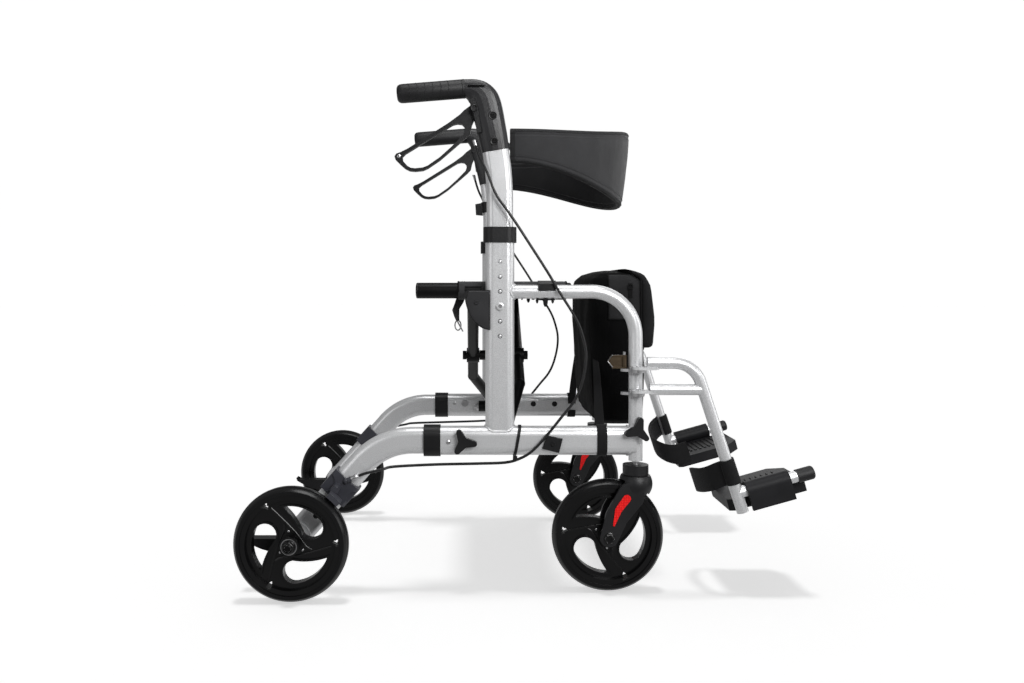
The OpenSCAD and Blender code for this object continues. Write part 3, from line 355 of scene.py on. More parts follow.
def metal(name, colour, rough):
    """Bare steel with drawn streaks."""
    mat, tree, bsdf = new_material(name)
    set_inputs(bsdf, {"Metallic": 1.0})
    lines = speckle(tree, 1.0, 4.0, (40, 40, 900))
    paint(tree, bsdf, lines, [(0.3, tuple(0.8 * c for c in colour)), (0.7, colour)])
    vary_roughness(tree, bsdf, lines, rough - 0.08, rough + 0.1)
    bump(tree, bsdf, lines, 0.08, 0.0002)
    return mat


def woven(name, dark, light, pitch, rough, sheen, shine=0.5):
    """Plain weave: two crossed sets of fine threads, with a slow mottling."""
    mat, tree, bsdf = new_material(name)
    set_inputs(bsdf, {"Sheen Weight": sheen, "Sheen Roughness": 0.5, "Roughness": rough,
                      "Specular IOR Level": shine})
    cross = add(tree, "ShaderNodeMath", operation="MULTIPLY")
    for i, way in enumerate(("DIAGONAL", "Z")):
        wave = texture(tree, "Wave", Scale=1.0 / pitch, Distortion=0.6, bands_direction=way)
        tree.links.new(wave.outputs["Fac"], cross.inputs[i])
    blend = add(tree, "ShaderNodeMath", operation="MULTIPLY_ADD")
    blend.inputs[1].default_value = 0.5
    tree.links.new(cross.outputs[0], blend.inputs[0])
    tree.links.new(speckle(tree, 25.0, 5.0), blend.inputs[2])
    paint(tree, bsdf, blend.outputs[0], [(0.3, dark), (0.9, light)])
    bump(tree, bsdf, cross.outputs[0], 0.35, 0.0004)
    return mat


def prism_red():
    """Red reflector with a honeycomb of small prisms."""
    mat, tree, bsdf = new_material("prism_red")
    set_inputs(bsdf, {"Roughness": 0.36, "Specular IOR Level": 0.25})
    cells = texture(tree, "Voronoi", Scale=230.0, Randomness=0.25).outputs["Distance"]
    paint(tree, bsdf, cells, [(0.1, (0.95, 0.02, 0.015)), (0.55, (0.78, 0.008, 0.010)),
                              (0.8, (0.45, 0.002, 0.005))])
    bump(tree, bsdf, cells, 0.7, 0.0012)
    return mat


SILVER = silver_paint()
PLASTIC = moulded("black_plastic", grey(0.006), grey(0.011), 0.40, shine=0.35)
FORK = moulded("fork_plastic", grey(0.008), grey(0.013), 0.42, 1000.0, 0.3, 0.4)
ELBOW = moulded("elbow_plastic", grey(0.013), grey(0.021), 0.36, 900.0, 0.35)
DECK = moulded("footplate_plastic", grey(0.011), grey(0.018), 0.45, 1000.0, 0.3, 0.15)
SLATE = moulded("slate_plastic", (0.032, 0.033, 0.042), (0.046, 0.047, 0.058), 0.40, 900.0, 0.3)
RECESS = moulded("recess_shade", grey(0.0015), grey(0.003), 0.8, shine=0.1)
RIM = moulded("rim_plastic", grey(0.002), grey(0.004), 0.20)
TYRE = moulded("tyre_rubber", grey(0.003), grey(0.006), 0.26, 700.0, shine=0.4)
RUBBER = moulded("soft_rubber", grey(0.007), grey(0.013), 0.50, 1100.0, 0.3, 0.4)
CABLE = moulded("cable_skin", grey(0.006), grey(0.010), 0.35)
STEEL = metal("steel", (0.62, 0.62, 0.63), 0.30)
BRONZE = metal("latch_metal", (0.12, 0.09, 0.06), 0.36)
BLACK_STEEL = moulded("black_steel", grey(0.002), grey(0.004), 0.36, 1600.0, 0.12, 0.2)
NYLON = woven("bag_nylon", grey(0.0012), grey(0.003), 0.0010, 0.8, 0.015, 0.08)
PANEL = woven("bag_panel", grey(0.007), grey(0.013), 0.0016, 0.8, 0.08, 0.3)
CANVAS = woven("back_canvas", grey(0.014), grey(0.024), 0.0011, 0.8, 0.2)
# Darker copy of the backrest cloth for the band's inner faces: painted shade.
INNER_SHADE_CLOTH = woven("back_inner_shade", grey(0.005), grey(0.010), 0.0011, 0.8, 0.05, 0.2)
TAPE = woven("hem_tape", grey(0.005), grey(0.010), 0.0008, 0.75, 0.1, 0.3)
LID = woven("bag_lid_nylon", grey(0.004), grey(0.009), 0.0010, 0.75, 0.04, 0.2)
BINDING = woven("binding_tape", grey(0.002), grey(0.005), 0.0008, 0.75, 0.02, 0.15)
WEBBING = woven("webbing", grey(0.010), grey(0.020), 0.0013, 0.7, 0.15, 0.3)
HEEL_WEB = woven("heel_webbing", grey(0.004), grey(0.009), 0.0013, 0.75, 0.05, 0.2)
THREAD = woven("thread", grey(0.018), grey(0.036), 0.0005, 0.6, 0.1)
RED = prism_red()

NODE_MATERIALS = (
    (SILVER, "side_rail upright seat_rail rear_leg handle_tube hanger"),
    (PLASTIC, "frame_plastics brake_lever rear_knob front_knob"), (ELBOW, "handle_housing"),
    (SLATE, "brake_housing brake_shoe"), (STEEL, "frame_fasteners caster_axle"),
    (RUBBER, "grip footrest_cap"), (TYRE, "rear_tyre caster_tyre"), (RIM, "rear_rim caster_rim"),
    (FORK, "caster_fork"), (RED, "caster_reflectors"), (DECK, "footplate"), (BRONZE, "latch_lever"),
)


def dress(mesh, mat):
    mesh.materials.clear()
    mesh.materials.append(mat)


for mat, names in NODE_MATERIALS:
    for name in names.split():
        for side, _ in SIDES:
            dress(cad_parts[f"{name}_{side}"].data, mat)
for name in ("cross_frame_front", "cross_frame_rear"):
    dress(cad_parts[name].data, BLACK_STEEL)


# Brake cables

CABLE_ROUTE = [
    (-46, -242, 808), (-42, -246, 794), (-35, -254, 773), (-23, -261, 748), (-8, -264, 710),
    (11, -266, 682), (29, -267, 656), (55, -266, 616), (84, -264, 571), (105, -262, 536),
    (136, -260, 486), (149, -259, 450), (153, -259, 423), (150, -260, 393), (141, -261, 361),
    (129, -262, 338), (110, -263, 315), (81, -264, 279), (56, -264, 253), (35, -262, 240),
    (10, -257, 232), (-40, -252, 229), (-114, -250, 227), (-189, -254, 224), (-209, -258, 220),
    (-241, -262, 213), (-262, -264, 205),
]


def cables():
    line = smooth_line(CABLE_ROUTE, 5)
    shape = Shape().tube(line, 2.5, 10)
    for side, k in SIDES:
        obj = shape.make(f"cable_{side}", CABLE, None, "rubber", k)
        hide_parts(f"brake_cable_{side}")
        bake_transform(obj)
    top = Shape().lathe([(2.9, -1), (3.6, -0.5), (3.6, 4), (3.1, 5), (3.1, 10), (2.7, 11)],
                        line[0], line[2] - line[0])
    top.pair("cable_ferrule_top", STEEL, "handle", "steel")
    low = Shape().lathe([(2.8, -12), (3.8, -11), (5.2, -9), (5.2, 1), (4.6, 2.5)],
                        line[-1], line[-1] - line[-3])
    low.pair("cable_ferrule_low", STEEL, "frame", "steel")


cables()


# Backrest band

BACK_T = 15.0
BACK_U, BACK_Z = 20.457, 800.776
BACK_REACH, BACK_Y = 246, 215


def back_frame(t):
    """Middle, way off the band and half height of the backrest at an angle round its curve."""
    s, c = sin(t), cos(t)
    share = max(s, 0.0) ** 1.8
    tall = (62 + 88 * share) / 2
    lean = 8 * share
    top = BACK_Z + 33 + 24 * max(s, 0.0) ** 4
    middle = Vector((BACK_U + (BACK_REACH - lean) * s, -BACK_Y * c, top - tall))
    out = Vector((BACK_Y * s, -BACK_REACH * c, 0)).normalized()
    return middle, out, Vector((lean * s, -0.2 * lean * c, tall)), tall


def back_point(t, edge, outer, lift=0.0):
    """A point of the band: edge is the distance in millimetres above its lower hem."""
    middle, out, up, tall = back_frame(t)
    v = max(-1.0, min(1.0, edge / tall - 1))
    half = BACK_T / 2 * (1 - abs(v) ** 3.64) ** 0.275
    groove = 0.0
    for seam in (9.5, 2 * tall - 10.5):
        groove += exp(-((edge - seam) / 1.6) ** 2)
    p = middle + up * v
    fold = noise.noise(Vector((t * 9, edge / 60, 2.0 if outer else 7.0)))
    fold += 0.6 * noise.noise(Vector((t * 26, edge / 22 + 3 * t, 5.0 if outer else 1.0)))
    inside = max(0.0, 1 - abs(v) ** 6)
    half += inside * (0.9 * fold - 1.1 * groove) + lift
    return p + out * (half if outer else -half), out * (1 if outer else -1)


def back_edges(t):
    tall = 2 * back_frame(t)[3]
    near = [0.0, 0.6, 2.0, 4.0, 6.5, 8.0, 8.9, 9.5, 10.1, 11.0, 13.0]
    inner = [13 + (tall - 27) * k / 14 for k in range(1, 14)]
    far = (14, 12, 11.1, 10.5, 9.9, 9.0, 7.0, 4.0, 2.0, 0.6, 0.0)
    return near + inner + [tall - e for e in far]


def back_ring(t, edges, lift=0.0):
    ring = [back_point(t, e, True, lift)[0] for e in edges]
    return ring + [back_point(t, e, False, lift)[0] for e in reversed(edges[1:-1])]


BACK_STEPS = 132
BACK_ANGLES = [pi * k / BACK_STEPS for k in range(BACK_STEPS + 1)]


def fold_in(obj):
    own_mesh(obj)


def backrest():
    pad = Shape().loft([back_ring(t, back_edges(t)) for t in BACK_ANGLES])
    band = pad.make("backrest_band", CANVAS, "backrest", "black_fabric", angle=60)
    # Faces turned towards the middle of the band get the darker cloth: painted shade on its inside.
    band.data.materials.append(INNER_SHADE_CLOTH)
    middle = at(BACK_U, 0, 0)
    for face in band.data.polygons:
        way = face.center - middle
        if face.normal.x * way.x + face.normal.y * way.y < 0:
            face.material_index = 1
    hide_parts("backrest_pad")
    pieces = [band]

    tape = Shape()
    for top, depth in ((True, 5.5), (False, 4.5)):
        rings = []
        for t in BACK_ANGLES:
            tall = 2 * back_frame(t)[3]
            steps = [depth, depth * 0.7, depth * 0.4, depth * 0.15, 0.0]
            heights = [tall - e if top else e for e in steps]
            ring = [back_point(t, e, True, 0.7)[0] for e in heights]
            ring[-1] = ring[-1] + Vector((0, 0, 0.7 if top else -0.7))
            back = heights[-2::-1]
            for outer, lift, row in ((False, 0.7, back), (False, -0.8, heights[:-1]),
                                     (True, -0.8, back)):
                ring += [back_point(t, e, outer, lift)[0] for e in row]
            rings.append(ring)
        tape.loft(rings)
    for start, way in ((0.0, 1), (pi, -1)):
        rings = []
        for step, lift in ((-0.004, -0.5), (-0.004, 0.9), (0.03, 0.9), (0.034, -0.4)):
            t = start + way * step
            rings.append(back_ring(t, back_edges(max(0.0, min(pi, t))), lift))
        tape.loft(rings)
    pieces.append(tape.make("backrest_binding", TAPE, "backrest", "black_fabric", angle=60))

    seam = Shape()
    for outer in (True, False):
        for top, depth in ((True, 4.2), (True, 13.5), (False, 3.4), (False, 12.5)):
            line, ways = [], []
            for t in BACK_ANGLES[2:-2]:
                tall = 2 * back_frame(t)[3]
                lift = 0.75 if depth < 10 else 0.1
                p, way = back_point(t, tall - depth if top else depth, outer, lift)
                line.append(p)
                ways.append(way)
            seam.dashes(line, ways, 5.5, 3.6, 0.45)
    pieces.append(seam.make("backrest_stitching", THREAD, "backrest", "black_fabric"))

    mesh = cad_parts["backrest_hinges"].data.copy()
    dress(mesh, PLASTIC)
    hinge = new_object("backrest_end_plates", mesh)
    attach(hinge, "backrest")
    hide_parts("backrest_hinges")
    pieces.append(hinge)
    screws = Shape()
    for k in (-1, 1):
        for u in (2, 16):
            screws.lathe([(4.2, 0.6), (4.2, -0.6), (3.2, -2.0), (1.6, -2.2), (1.5, -1.2)],
                         (u, k * 205.6, 800.8), (0, k, 0), 18)
    pieces.append(screws.make("backrest_screws", STEEL, "backrest", "steel"))
    for obj in pieces:
        fold_in(obj)


backrest()


# Bag

BAG_HALF, BAG_COUNT = 165, 132

# Height, rear edge, front edge and share of the half width
BAG_LEVELS = [
    (283, 194, 272, 0.84), (292, 183, 281, 0.95), (335, 177, 284, 0.99), (425, 173, 284, 1),
    (436, 172, 294, 1), (480, 170, 298, 1), (545, 170, 290, 1), (560, 175, 281, 0.98),
    (571, 190, 264, 0.9), (577, 208, 240, 0.6),
]


# Heights of the lid, and how far it draws in there
LID_LEVELS = ((430, 9), (431, 5), (434, 1.5), *((z, 0) for z in range(440, 537, 16)), (548, 0),
              (556, 0), (562, 0.5), (567, 2), (571, 5), (574.5, 10), (577.5, 16), (579, 24))

# Rear edge, foot and rows of the panels on the bag's sides
PANEL_U, PANEL_Z = 208, 484
PANEL_ROWS = [PANEL_Z + 3.5 * j for j in range(25)]


def bag_level(z):
    """Rear edge, front edge and half width of the bag at a height."""
    for low, high in zip(BAG_LEVELS, BAG_LEVELS[1:]):
        if z <= high[0]:
            break
    t = max(0.0, min(1.0, (z - low[0]) / (high[0] - low[0])))
    rear, front, share = (a + (b - a) * t for a, b in zip(low[1:], high[1:]))
    return rear, front, BAG_HALF * share


def slack(p):
    """How far the nylon stands off its plain form: long upright folds."""
    fold = noise.noise(Vector((p.x / 34, p.y / 42, p.z / 190)))
    crease = abs(noise.noise(Vector((p.x / 60 + 4, p.y / 60, p.z / 120 + 2))))
    return 3.2 * fold + 1.2 - 4.0 * crease


def bag_wall(u, z):
    rear, front, half = bag_level(z)
    rel = (u - (rear + front) / 2) / ((front - rear) / 2)
    y = -half * max(0.0, 1 - abs(rel) ** 4.76) ** 0.21
    return Vector((u, y - slack(Vector((u, y, z))), z))


def even_ring(points, count):
    """The same closed ring, with points at even distances."""
    points = points + points[:1]
    total = length_of(points)
    ring, walked, i = [], 0.0, 0
    span = (points[1] - points[0]).length
    for k in range(count):
        target = total * k / count
        while walked + span < target:
            walked += span
            i += 1
            span = (points[i + 1] - points[i]).length
        ring.append(points[i].lerp(points[i + 1], (target - walked) / max(span, 1e-9)))
    return ring


def bag_ring(z, rear, front, half, power, count):
    dense = []
    for a in turns(480)[:-1]:
        dense.append(Vector(((rear + front) / 2 + (front - rear) / 2 * bent(cos(a), power),
                             half * bent(sin(a), power), z)))
    return even_ring(dense, count)


def bag():
    body = Shape()
    rings = []
    heights = [283 + 5.0 * k for k in range(53)]
    heights += [548, 552, 556, 560, 564, 568, 571, 573, 575, 576.5, 577]
    for z in heights:
        rear, front, half = bag_level(z)
        plain = bag_ring(z, rear, min(front, 286), half, 0.42, BAG_COUNT)
        ring = []
        for i, p in enumerate(plain):
            way = plain[(i + 1) % BAG_COUNT] - plain[i - 1]
            out = Vector((way.y, -way.x, 0)).normalized()
            fade = min(1.0, (z - 281) / 14, max(0.0, (578 - z) / 10))
            ring.append(p + out * (slack(p) * fade))
        rings.append(ring)
    sack = body.loft(rings).make("bag_body", NYLON, "frame_right", "black_fabric", angle=70)
    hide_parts("bag")
    pieces = [sack]

    lid = Shape()
    rings = []
    for z, inset in LID_LEVELS:
        front = max(bag_level(max(z, 440))[1], 281 - inset) + 1.5 - inset
        half = 167.5 - 0.6 * inset
        rear = 266 + 0.4 * inset - max(0, z - 560) * 1.6
        plain = bag_ring(z, rear, front, half, 0.35, 96)
        rings.append([p + Vector((0.8 * noise.noise(p / 30), 0, 0)) for p in plain])
    pieces.append(lid.loft(rings).make("bag_lid", LID, "frame_right", "black_fabric", angle=70))

    panel, tape, tag, slide = (Shape() for _ in range(4))
    for k in (1, -1):
        rings = []
        for z in PANEL_ROWS:
            row = [bag_wall(PANEL_U + 62 * i / 20, z) for i in range(21)]
            ring = [(p.x, k * (p.y - 1.4), p.z) for p in row]
            rings.append(ring + [(p.x, k * (p.y + 1.0), p.z) for p in reversed(row)])
        panel.loft(rings)
        edge = [bag_wall(PANEL_U, z) for z in PANEL_ROWS]
        low = [bag_wall(PANEL_U + 60 * j / 20, PANEL_Z) for j in range(21)]
        for line in (edge, low):
            tape.tube([(p.x, k * (p.y - 1.2), p.z) for p in line], 1.5, 8)
        rear = [bag_wall(bag_level(z)[0] + 5, z) for z in range(300, 560, 6)]
        tape.tube([(p.x, k * (p.y - 0.6), p.z) for p in rear], 1.6, 8)
        tape.tube([(268, k * -168.2, z) for z in range(436, 562, 6)], 1.5, 8)
        rings = []
        for j in range(8):
            p = bag_wall(248, 524 + 4 * j)
            rings.append([(u, k * (p.y - h), p.z) for u, h in
                          ((244.5, 1.6), (244.5, 2.8), (248, 3.3), (251.5, 2.8), (251.5, 1.6))])
        tag.loft(rings)
        y = bag_wall(248, 545).y - 3.6
        slide.tube([(u, k * y, z) for u, z in
                    ((244, 541), (244, 549), (252, 549), (252, 541), (244, 541))], 1.0, 8)
    pieces.append(panel.make("bag_panels", PANEL, "frame_right", "black_fabric", angle=60))
    for shape, name in ((tape, "bag_piping"), (tag, "bag_tabs")):
        pieces.append(shape.make(name, BINDING, "frame_right", "black_fabric"))
    pieces.append(slide.make("bag_slides", BLACK_STEEL, "frame_right", "black_steel"))
    for obj in pieces:
        fold_in(obj)


def bag_straps():
    """A loop round each rail, and the strap from it up to the bag."""
    loop, strap = Shape(), Shape()
    section = ((-1, -0.6), (-0.96, 0.9), (0, 1.2), (0.96, 0.9), (1, -0.6), (0, -1.0))
    loop.loft([[c + Vector((s * 9, 0, 0)) + out * h for s, h in section]
               for c, out in round_rail(182, 17.3, 48)])
    rings = []
    for i in range(15):
        t = i / 14
        turn = radians(55) * t
        c = Vector((182 + 4 * t, -225 + 84 * t - 6 * sin(pi * t), 274 + 140 * t))
        wide = Vector((cos(turn), -sin(turn), 0)) * (9 - 2 * t)
        thin = Vector((sin(turn), cos(turn), 0))
        rings.append([c + wide * s + thin * h for s, h in
                      ((-1, 0), (-0.96, 1), (0, 1.3), (0.96, 1), (1, 0), (0.96, -1), (0, -1.3),
                       (-0.96, -1))])
    strap.loft(rings)
    loop.pair("bag_strap_loop", HEEL_WEB, "frame", "black_fabric")
    for obj, (_, k) in zip(strap.pair("bag_strap", HEEL_WEB, "frame", "black_fabric"), SIDES):
        fold_in(obj)


bag()
bag_straps()


# Seat sling

SEAT_Y, SEAT_Z = 210.0, 538
SEAT_TOP, SEAT_SAG = 553.4, 14
SEAT_REAR, SEAT_FRONT = -75, 122
NOTCHES = ((-63.5, -32.5), (28.5, 59.5), (64.5, 103.5))


def seat_top(y):
    """Height of the cloth at a place across the seat."""
    return SEAT_TOP - SEAT_SAG * (1 - (y / SEAT_Y) ** 2)


def ripple(u, y):
    """Slight unevenness of the cloth, away from the tubes."""
    return max(0.0, 1 - (y / 190) ** 2) * 1.4 * noise.noise(Vector((u / 70, y / 60, 0)))


def sling_section():
    """Middle line of the cloth across the seat, round both seat tubes, and the way off it."""
    line = []
    for k in range(25):
        a = radians(-60 - 210 * k / 24)
        out = Vector((0, cos(a), sin(a)))
        line.append((Vector((0, -SEAT_Y + 15.9 * cos(a), SEAT_Z + 15.9 * sin(a))), out))
    wrap = list(reversed(line))
    for k in range(1, 40):
        y = -SEAT_Y + 2 * SEAT_Y * k / 40
        slope = 2 * SEAT_SAG * y / SEAT_Y ** 2
        line.append((Vector((0, y, seat_top(y))), Vector((0, -slope, 1)).normalized()))
    for p, out in wrap:
        line.append((Vector((0, -p.y, p.z)), Vector((0, -out.y, out.z))))
    return line


def seat():
    section = sling_section()
    edges = {edge for notch in NOTCHES for edge in notch}
    stops = sorted({SEAT_REAR, SEAT_FRONT, *edges, *range(-69, 122, 6)})
    cloth = Shape()
    grid = {}
    for i, u in enumerate(stops):
        for j, (p, out) in enumerate(section):
            sag = ripple(u, p.y)
            for layer, lift in ((0, 1.0), (1, -1.0)):
                grid[i, j, layer] = len(cloth.verts)
                q = p + out * lift
                cloth.verts.append(Vector((u, q.y, q.z + sag)))
    kept = set()
    for i in range(len(stops) - 1):
        middle = (stops[i] + stops[i + 1]) / 2
        notched = any(a < middle < b for a, b in NOTCHES)
        for j in range(len(section) - 1):
            p, q = section[j][0], section[j + 1][0]
            wrapped = min(p.z, q.z) < 544 and abs(p.y) > 180
            if not (notched and wrapped):
                kept.add((i, j))
    for i, j in kept:
        for layer in (0, 1):
            cloth.faces.append((grid[i, j, layer], grid[i + 1, j, layer],
                                grid[i + 1, j + 1, layer], grid[i, j + 1, layer]))
        for near, a, b in (((i - 1, j), (i, j), (i, j + 1)),
                           ((i + 1, j), (i + 1, j), (i + 1, j + 1)),
                           ((i, j - 1), (i, j), (i + 1, j)),
                           ((i, j + 1), (i, j + 1), (i + 1, j + 1))):
            if near not in kept:
                cloth.faces.append((grid[(*a, 0)], grid[(*b, 0)], grid[(*b, 1)], grid[(*a, 1)]))
    used = sorted({v for face in cloth.faces for v in face})
    places = {v: n for n, v in enumerate(used)}
    cloth.verts = [cloth.verts[v] for v in used]
    cloth.faces = [tuple(places[v] for v in face) for face in cloth.faces]
    sling = cloth.make("seat_cloth", CANVAS, None, "black_fabric", angle=60)
    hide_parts("seat_sling")

    hems = Shape()
    over = [p for p, _ in section if p.z > 536]
    for u in (SEAT_REAR, SEAT_FRONT):
        hems.tube([(u, p.y, p.z) for p in over], 1.9, 8)
    hem = hems.make("seat_hems", BINDING, None, "black_fabric")
    seam = Shape()
    top = [(p, out) for p, out in section if p.z > 537 and abs(p.y) <= SEAT_Y]
    for u in (-68, -64, 111, 115):
        line = []
        for p, out in top:
            q = p + out * 1.1
            line.append(Vector((u, q.y, q.z + ripple(u, p.y))))
        seam.dashes(line, [out for _, out in top])
    for y in (-188.0, -184.0, 184.0, 188.0):
        z = seat_top(y) + 1.15
        seam.dashes([Vector((-70, y, z)), Vector((117, y, z))], [Vector((0, 0, 1))] * 2)
    thread = seam.make("seat_stitching", THREAD, None, "black_fabric")
    for obj in (sling, hem, thread):
        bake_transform(obj)

    for y, body in ((-SEAT_Y, "cross_rear"), (SEAT_Y, "cross_front")):
        plugs = Shape()
        for u, way in ((-149, -1), (128, 1)):
            plugs.lathe([(13.0, -4), (14.4, 0.2), (14.4, 1.6), (13.4, 3.0), (9.0, 4.0), (4.0, 4.3)],
                        (u, y, SEAT_Z), (way, 0, 0), 28)
        plugs.make("seat_plugs_" + body, PLASTIC, body, "black_plastic")


seat()


# Heel straps

HEEL_ROUTE = [(12.3 * cos(radians(a)), 12.3 * sin(radians(a)), 0)
              for a in range(120, -181, -30)] + [
    (-22, 6, -2), (-35, 20, -7), (-45, 48, -13), (-49, 82, -19), (-47, 108, -24),
    (-40, 128.8, -30), (-30, 138.8, -36), (-18, 141.8, -41), (-4, 141.8, -43), (12, 141.8, -43),
]
HEEL_HALF = 22.6


def heel_straps():
    slope = radians(18)

    def place(p):
        """A point of the strap, leaned like the tube that it starts from."""
        return Vector((412.63 + p.x * cos(slope) - p.z * sin(slope), p.y - HANGER_Y,
                       197 + p.x * sin(slope) + p.z * cos(slope)))

    route = smooth_line(HEEL_ROUTE, 5)
    last = len(route) - 1
    band, seam = Shape(), Shape()
    rings, rows = [], {height: ([], []) for height in (-19.5, -16.5, 16.5, 19.5)}
    for i, p in enumerate(route):
        way = route[min(i + 1, last)] - route[max(i - 1, 0)]
        out = Vector((way.y, -way.x, 0)).normalized()
        ring = []
        for k in range(20):
            a = 2 * pi * (k + 0.5) / 20
            ring.append(place(p + Vector((0, 0, HEEL_HALF)) + out * 1.5 * bent(cos(a), 0.3)
                              + Vector((0, 0, HEEL_HALF * bent(sin(a), 0.3)))))
        rings.append(ring)
        for height, (line, ways) in rows.items():
            q = p + Vector((0, 0, HEEL_HALF + height)) + out * 1.5
            line.append(place(q))
            ways.append(place(q + out) - place(q))
    band.loft(rings)
    for line, ways in rows.values():
        seam.dashes(line, ways, 5.5, 3.6, 0.45)
    for side, k in SIDES:
        for shape, name, mat in ((band, "heel_strap", HEEL_WEB), (seam, "heel_stitching", THREAD)):
            obj = shape.make(f"{name}_{side}", mat, None, "black_fabric", k, angle=60)
            if shape is band:
                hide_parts(f"heel_loop_{side}")
            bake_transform(obj)


heel_straps()


# Trim

def bolt(shape, origin, head, tall):
    """Round head with a sunk middle, facing outward."""
    shape.lathe([(head, -0.5), (head, tall * 0.6), (head * 0.85, tall), (head * 0.5, tall),
                 (head * 0.44, tall * 0.45)], origin, OUTWARD)


# Radius and angle of each point of a rim's curved rib, and the rib's section
RIB_ROUTE = [(71.4, 0), (45.4, -11.4), (31, -27), (21.4, -61), (21, -100), (28.2, -125.5),
             (38, -131.4)]
RIB_SECTION = ((-2.2, 5.0), (-1.5, 7.6), (-0.7, 8.2), (0.7, 8.2), (1.5, 7.6), (2.2, 5.0))


def wheel_trim():
    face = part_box("rear_rim_right")[0][1] * 1000
    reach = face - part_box("frame_fasteners_right")[0][1] * 1000 + 1.5
    hub = (REAR_U, face, AXLE_Z)
    cap, nut, bolts = Shape(), Shape(), Shape()
    cap.lathe([(12.6, -0.3), (12.6, 1.2), (11.2, 2.4), (10.8, reach - 3), (9.8, reach - 1.0),
               (8.4, reach), (7.2, reach), (6.6, reach - 1.6)], hub, OUTWARD, 36)
    cap.pair("rear_hub_cap", RIM, "frame", "black_plastic")
    nut.lathe([(6.2, reach - 3), (6.2, reach - 0.6), (5.2, reach + 0.2), (2.0, reach + 0.3)],
              hub, OUTWARD, 6, 0.3)
    nut.pair("rear_hub_nut", BLACK_STEEL, "frame", "black_steel")
    for corner, way in zip(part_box("caster_axle_right"), (-1, 1)):
        end = (CASTER_U, corner[1] * 1000, AXLE_Z)
        bolts.lathe([(10.0, -6.2), (10.0, -4.6), (9.0, -4.0)], end, (0, way, 0), 28)
        bolts.lathe([(8.4, -4.2), (8.4, 0.4), (7.2, 1.4), (3.6, 1.4), (3.2, 0.2)], end,
                    (0, way, 0), 6, 0.2)
    bolts.pair("caster_bolts", RIM, "caster", "black_plastic")
    for name, u, y, spin, dots in (("rear", REAR_U, -REAR_Y, 118, (99, -25, 217)),
                                   ("caster", CASTER_U, -SIDE_Y, 173, (153, 26, 267))):
        ribs, pins = Shape(), Shape()
        for way in (-1, 1):
            for turn in (0, 120, 240):
                line = []
                for r, offset in RIB_ROUTE:
                    a = radians(spin + turn + offset)
                    line.append((u + r * cos(a), 0, AXLE_Z + r * sin(a)))
                line = smooth_line(line, 6)
                rings = []
                for i, p in enumerate(line):
                    along = line[min(i + 1, len(line) - 1)] - line[max(i - 1, 0)]
                    across = Vector((-along.z, 0, along.x)).normalized()
                    rings.append([p + across * s + Vector((0, y + way * h, 0))
                                  for s, h in RIB_SECTION])
                ribs.loft(rings)
        for dot in dots:
            a = radians(dot)
            pins.lathe([(1.9, -1.0), (1.9, 0.4), (1.2, 0.9)],
                       (u + 23 * cos(a), y - 6, AXLE_Z + 23 * sin(a)), OUTWARD, 14)
        ribs.pair(name + "_rim_ribs", RIM, name + "_wheel", "black_plastic")
        pins.pair(name + "_rim_pins", STEEL, name + "_wheel", "steel")


wheel_trim()


def handle_trim():
    dark, steel, slot, grips, rivet = (Shape() for _ in range(5))
    node = "handle_housing_right"
    rows = [[Vector((u, face_y(node, u, z), z)) for u in range(-58, -27, 5)]
            for z in (900.0, 901.5, 903.0, 904.5)]
    off, sunk = Vector((0, -0.25, 0)), Vector((0, 0.6, 0))
    slot.loft([[p + off for p in row] + [p + sunk for p in reversed(row)] for row in rows])
    slot.pair("elbow_slot", RECESS, "handle", "black_plastic")
    for u, z, rim, head, tall in (
        (-13.2, 849.8, [(7.4, -1.0), (7.4, 0.7), (6.6, 1.2), (5.2, 0.9), (4.8, 0.2)], 4.0, 1.4),
        (-10.7, 804, [(7.2, -1.0), (7.2, 0.8), (6.2, 1.5), (4.4, 1.2), (3.9, 0.2)], 3.6, 1.6),
    ):
        y = face_y(node, u, z)
        dark.lathe(rim, (u, y, z), OUTWARD, 28)
        bolt(steel, (u, y + 0.4, z), head, tall)
    dark.plate([(-53, 880), (-46.5, 881), (-40, 868), (-36.5, 846), (-33, 820), (-41, 818),
                (-44.5, 840), (-50, 862)], -259.4, -250, 1.0)
    dark.lathe([(6.6, -1), (6.6, 1.4), (5.6, 2.2), (4.0, 2.0), (3.4, 0.6)],
               (-46, -259.4, 862.8), OUTWARD, 28)
    dark.pair("handle_fittings", PLASTIC, "handle", "black_plastic")
    steel.pair("handle_screws", BLACK_STEEL, "handle", "black_steel")
    tilt = radians(4.5)
    front, along = Vector((-63.04, -SIDE_Y, 900.98)), Vector((-cos(tilt), 0, -sin(tilt)))
    up = Vector((along.z, 0, -along.x))
    grips.lathe([(16.8, 0.0), (17.3, 0.8), (17.3, 4.2), (16.7, 4.8), (17.1, 5.6), (17.1, 112.0),
                 (16.5, 116.5), (14.6, 120.0), (11.0, 122.0), (5.0, 122.6)], front, along, 48)
    for k in range(6):
        line = []
        for step in range(-8, 9):
            a = radians(7 * step + 10)
            c = front + along * (28 + 14 * k + 3.5 * (step / 8) ** 2)
            line.append(c + (Vector(OUTWARD) * cos(a) + up * sin(a)) * 16.9)
        grips.tube(line, 0.8, 8)
    for obj, (side, _) in zip(grips.pair("grip_skin", RUBBER, "handle", "rubber"), SIDES):
        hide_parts(f"grip_{side}")
    y = max(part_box("brake_lever_right")[0][1] * 1000, face_y("brake_lever_right", -181, 779))
    rivet.lathe([(3.6, -0.6), (3.6, 0.3), (2.6, 1.1), (1.0, 1.4)], (-181, y, 779), OUTWARD, 20)
    rivet.pair("lever_rivet", STEEL, "brake_lever", "steel")


handle_trim()


